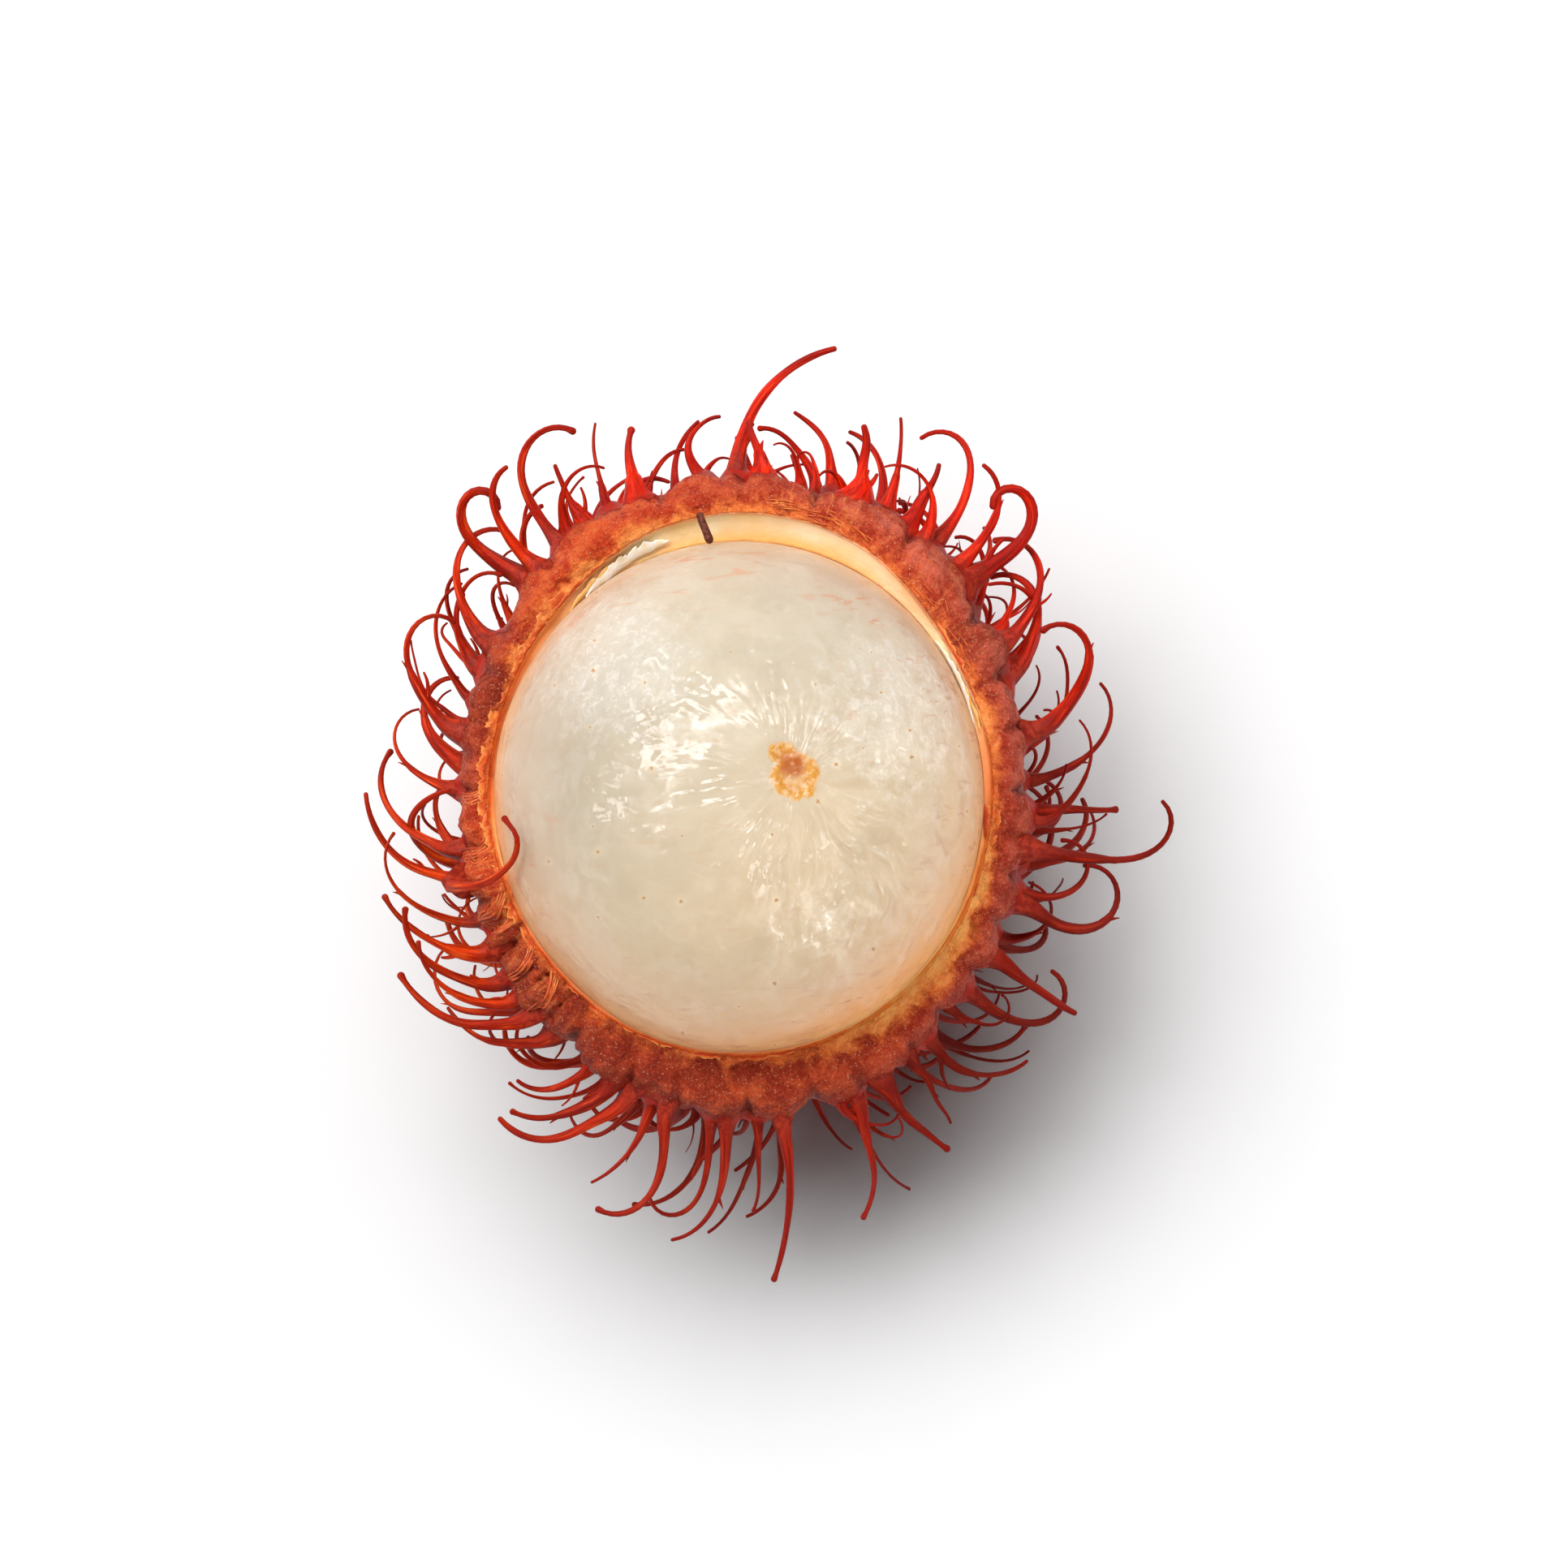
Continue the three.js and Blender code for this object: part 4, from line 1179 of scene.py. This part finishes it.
def add_strands(cup):
    """Sinews over the cut on the -X side and fine torn fibres beside the lining."""
    tubes = Tubes()
    item = STRAND_ITEMS
    for middle, spread, count, girth in FANS:
        for k in range(count):
            item += 1
            share = (k + 0.5) / count * 2 - 1
            foot = middle + spread * share + between(-0.4, 0.4, item, 60)
            head = middle - 1.2 + spread * 0.3 * share
            last = between(0.85, 1.02, item, 61)
            lift = between(0.0, 0.09, item, 62)
            line = [cup.over(math.radians(foot + (head - foot) * t ** 0.7), (1 - t) * last - 0.25 * t)
                    + UP * lift * math.sin(math.pi * t) for t in np.linspace(0, 1, STRAND_KNOTS)]
            line[0] = line[0] - UP * 0.12
            shares = np.linspace(0, 1, STRAND_RINGS)
            centres, tangents, _ = along_line(rounded(line, 4), shares)
            radii = girth * between(0.7, 1.4, item, 63) * np.interp(shares, [0, 0.3, 0.8, 1], [0.6, 0.9, 1, 0.6])
            tubes.add(centres, tangents, UP, radii, STRAND_SIDES, 0.75 * (1 - shares), item, furrow=0.12,
                      flat=0.2)
    for span in TORN_FIBRES:
        item += 1
        middle = between(*span, item, 60)
        turn = between(1.5, 4.5, item, 61)
        at = between(0.72, 1.0, item, 62)
        slant = between(-0.08, 0.05, item, 64)
        line = [cup.over(math.radians(middle + turn * t), at + slant * t) for t in (0, 0.5, 1)]
        line[1] = line[1] + UP * between(0.05, 0.15, item, 67)
        centres, tangents, _ = along_line(rounded(line, 6), np.linspace(0, 1, FIBRE_RINGS))
        tubes.add(centres, tangents, UP, np.linspace(0.06, 0.025, FIBRE_RINGS), THIN_SIDES,
                  np.full(FIBRE_RINGS, between(0.35, 0.7, item, 68)), item)
    tubes.make("rind_strands", torn_finish("rind_strands"), {"up": np.concatenate(tubes.values["along"])})


def add_stub():
    """A short dark stub that lies in the gap between the rind and the flesh."""
    shares = np.linspace(0, 1, STUB_RINGS)
    centres, tangents, _ = along_line(rounded(STUB_LINE, 6), shares)
    tubes = Tubes()
    radii = np.interp(shares, [0, 0.5, 1], [0.27, 0.29, 0.33])
    tubes.add(centres, tangents, UP, radii, STUB_SIDES, shares, STUB_ITEM, furrow=0.08, flat=-0.1)
    tubes.make("rind_stub", stub_finish(), {})


# ---- the flesh ----
def flesh_points():
    """A grid over the ball of flesh whose first pole is the middle of the scar."""
    polar = np.concatenate([np.linspace(*part, endpoint=False) for part in FLESH_RINGS])[1:]
    around = np.linspace(0, 2 * math.pi, FLESH_COLUMNS, endpoint=False)
    x = (SCAR[0] - FLESH.centre[0]) / FLESH.half[0]
    y = (SCAR[1] - FLESH.centre[1]) / FLESH.half[1]
    pole = np.array([x, y, math.sqrt(1 - x * x - y * y)])
    east = unit(np.array([pole[2], 0, -pole[0]]))
    north = np.cross(pole, east)
    level = np.cos(around)[None, :, None] * east + np.sin(around)[None, :, None] * north
    ball = pole * np.cos(polar)[:, None, None] + level * np.sin(polar)[:, None, None]
    ball = np.concatenate([ball.reshape(-1, 3), [pole, -pole]])
    return ball, np.append(np.repeat(polar, FLESH_COLUMNS), [0, math.pi]), \
        np.append(np.tile(around, len(polar)), [0, 0]), len(polar)


def flesh_relief(ball, polar, around):
    """Soft lobes, folds that run out from the scar and small ripples, in millimetres."""
    points = ball * np.array(FLESH.half)
    broad = 0.16 * lumps(points, 7, 2, 11)
    away = polar * FLESH_ARC
    bent = around + 0.22 * lumps(points, 5, 2, 15)
    folds_at = np.stack([np.cos(bent) * 4.2, np.sin(bent) * 4.2, away * 0.13], axis=-1)
    folds = 1 - np.abs(lumps(folds_at, 1.0, 3, 12)) * 2
    folds = 0.17 * np.clip(folds, -1, 1) * smoothstep(1.5, 5, away) * smoothstep(19, 12, away)
    folds = folds * (0.12 + sector(around, -38, 62))
    ripple = 0.022 * lumps(points, 1.3, 3, 13)
    plan = points[:, :2] + np.array(FLESH.centre[:2])
    scar = np.zeros(len(points))
    for x, y, radius in SCAR_LOBES:
        far = np.hypot(plan[:, 0] - x, plan[:, 1] - y)
        scar += -0.22 * smoothstep(radius * 1.5, radius * 0.5, far)
        scar += 0.12 * np.exp(-((far - radius * 0.85) / 0.25) ** 2)
    top = ball[:, 2] > 0
    beads = 0.07 * lumps(points, 0.4, 2, 14) * smoothstep(2.6, 1.2, away)
    return (broad + folds + ripple) * smoothstep(0.02, 0.2, ball[:, 2]) + np.where(top, scar + beads, 0)


def add_flesh():
    ball, polar, around, rows = flesh_points()
    relief = flesh_relief(ball, polar, around)
    normals = unit(ball / np.array(FLESH.half))
    points = np.array(FLESH.centre) + ball * np.array(FLESH.half) + normals * relief[:, None]
    faces = [face[::-1] for face in grid_faces(rows, FLESH_COLUMNS)]
    faces += fan_faces(len(points) - 2, 0, FLESH_COLUMNS, False)
    faces += fan_faces(len(points) - 1, (rows - 1) * FLESH_COLUMNS, FLESH_COLUMNS, True)
    turn = azimuth_of(ball)
    south = tinted(turn, [(305, 48, 1), (215, 40, 0.45)])
    x, y, z = ball.T
    values = {
        "ribbed": blobs(ball, RIBBED_BLOBS),
        # Painted light and shade: warm shade low down and on the side away from the lamps, an orange glow near
        # the rind for light bounced from it, fill light on the side away from the lamps, and shade on the -X side
        # that faces them.
        "low": smoothstep(0.85, 0.2, z) * (0.15 + 0.85 * south),
        "border": smoothstep(0.42, 0.06, z) * tinted(turn, [(95, 60, -0.7), (200, 32, 0.5)], 0.8),
        "cream": np.clip(blobs(ball, CREAM_BLOBS), 0, 1),
        "lee": smoothstep(-0.45, 0.75, 0.55 * x - 0.8 * y),
        "west": 0.85 * smoothstep(0.35, 0.95, 0.3 * y - 0.95 * x),
        "edge": 0.15 + 0.6 * smoothstep(0.75, 0.4, z),
    }
    add_mesh("flesh_ball", points, faces, flesh_finish(), values, "flesh")


# ---- floor, light and camera ----
CAMERA_PLACE = (2.56, 1.06, 322)
FRAME_WIDTH = 107.3  # across the picture at the cut edge's height
CAMERA_LIFT = 298  # above the cut edge
SENSOR = 36
FLOOR_HALF = 2.5  # metres
# The key is a wide strip: four soft lamps side by side at about one height, by azimuth, elevation and strength.
KEY_LAMPS = [(70, 50, 0.83), (105, 52, 1.66), (140, 50, 1.62), (170, 52, 0.48)]
KEY_SPREAD = 30
# These light the fruit alone, so that the floor keeps its shadow: azimuth, elevation and, for the fill,
# strength and spread.
FILL_LAMP = (312, 34, 0.65, 50)
GLEAM_LAMPS = [(128, 20), (176, 26), (176, 44), (315, 61), (340, 46), (300, 42), (1, 22), (303, 24)]
GLEAM = (0.29, 15)  # strength, spread


def add_floor():
    mesh = bpy.data.meshes.new("floor")
    corners = [(x * FLOOR_HALF, y * FLOOR_HALF, 0) for x, y in ((-1, -1), (1, -1), (1, 1), (-1, 1))]
    mesh.from_pydata(corners, [], [(0, 1, 2, 3)])
    floor = bpy.data.objects.new("floor", mesh)
    bpy.context.collection.objects.link(floor)
    f = Finish("floor", Specular_IOR_Level=0.0)
    tone = f.mix(f.noise(40, 3), (0.89, 0.89, 0.89), (0.91, 0.91, 0.91))
    mesh.materials.append(f.done(Base_Color=tone, Roughness=0.9))


def add_sun(name, azimuth, elevation, strength, spread):
    """A far light that comes from an azimuth, anticlockwise from +X, and a height over the floor, in degrees."""
    light = bpy.data.lights.new(name, "SUN")
    light.energy = strength
    light.angle = math.radians(spread)
    a, e = math.radians(azimuth), math.radians(elevation)
    back = Vector((math.cos(a) * math.cos(e), math.sin(a) * math.cos(e), math.sin(e)))
    lamp = bpy.data.objects.new(name, light)
    lamp.rotation_euler = back.to_track_quat("Z", "Y").to_euler()
    bpy.context.collection.objects.link(lamp)
    return lamp


def add_lights():
    for i, lamp in enumerate(KEY_LAMPS, 1):
        add_sun(f"key_{i}", *lamp, KEY_SPREAD)
    fruit = bpy.data.collections.new("fruit")
    for piece in bpy.context.collection.objects:
        if piece.type == "MESH" and piece.name != "floor":
            fruit.objects.link(piece)
    fill = add_sun("fill", *FILL_LAMP)
    fill.visible_glossy = False
    gleams = [add_sun(f"gleam_{i}", *place, *GLEAM) for i, place in enumerate(GLEAM_LAMPS, 1)]
    for lamp in [fill, *gleams]:
        lamp.light_linking.receiver_collection = fruit
    world = bpy.data.worlds.new("studio")
    world.use_nodes = True
    nodes, links = world.node_tree.nodes, world.node_tree.links
    # The studio is bright round the horizon and dim overhead, where the lamps are.
    direction = nodes.new("ShaderNodeTexCoord").outputs["Generated"]
    parts = nodes.new("ShaderNodeSeparateXYZ")
    fall = nodes.new("ShaderNodeMapRange")
    fall.interpolation_type = "SMOOTHSTEP"
    for key, value in {"From Min": 0.05, "From Max": 0.3, "To Min": 0.25, "To Max": 0.02}.items():
        fall.inputs[key].default_value = value
    links.new(direction, parts.inputs[0])
    links.new(parts.outputs["Z"], fall.inputs["Value"])
    links.new(fall.outputs[0], nodes["Background"].inputs["Strength"])
    nodes["Background"].inputs["Color"].default_value = (1, 1, 1, 1)
    bpy.context.scene.world = world


def add_camera():
    data = bpy.data.cameras.new("camera")
    data.sensor_width = SENSOR
    data.lens = SENSOR * CAMERA_LIFT / FRAME_WIDTH
    data.clip_start = 0.01
    camera = bpy.data.objects.new("camera", data)
    camera.location = Vector(CAMERA_PLACE) * MM
    bpy.context.collection.objects.link(camera)
    bpy.context.scene.camera = camera


spines = all_spines()
spine_roots = np.array([spine.root for spine in spines])
cup = make_cup(spine_roots)
add_cup(cup, spine_roots)
spine_red = spine_finish()
add_spines("rind_spines", spines, spine_red, "rind")
add_spines("rind_fine_spines", fine_spines(spine_roots), spine_red)
for ribbon in TORN_RIBBONS:
    add_torn_ribbon(*ribbon)
add_strands(cup)
for number, strip in enumerate(STRIPS, 1):
    add_strip(number, *strip)
add_stub()
add_flesh()
add_floor()
add_lights()
add_camera()
bpy.context.scene.view_settings.view_transform = "Standard"
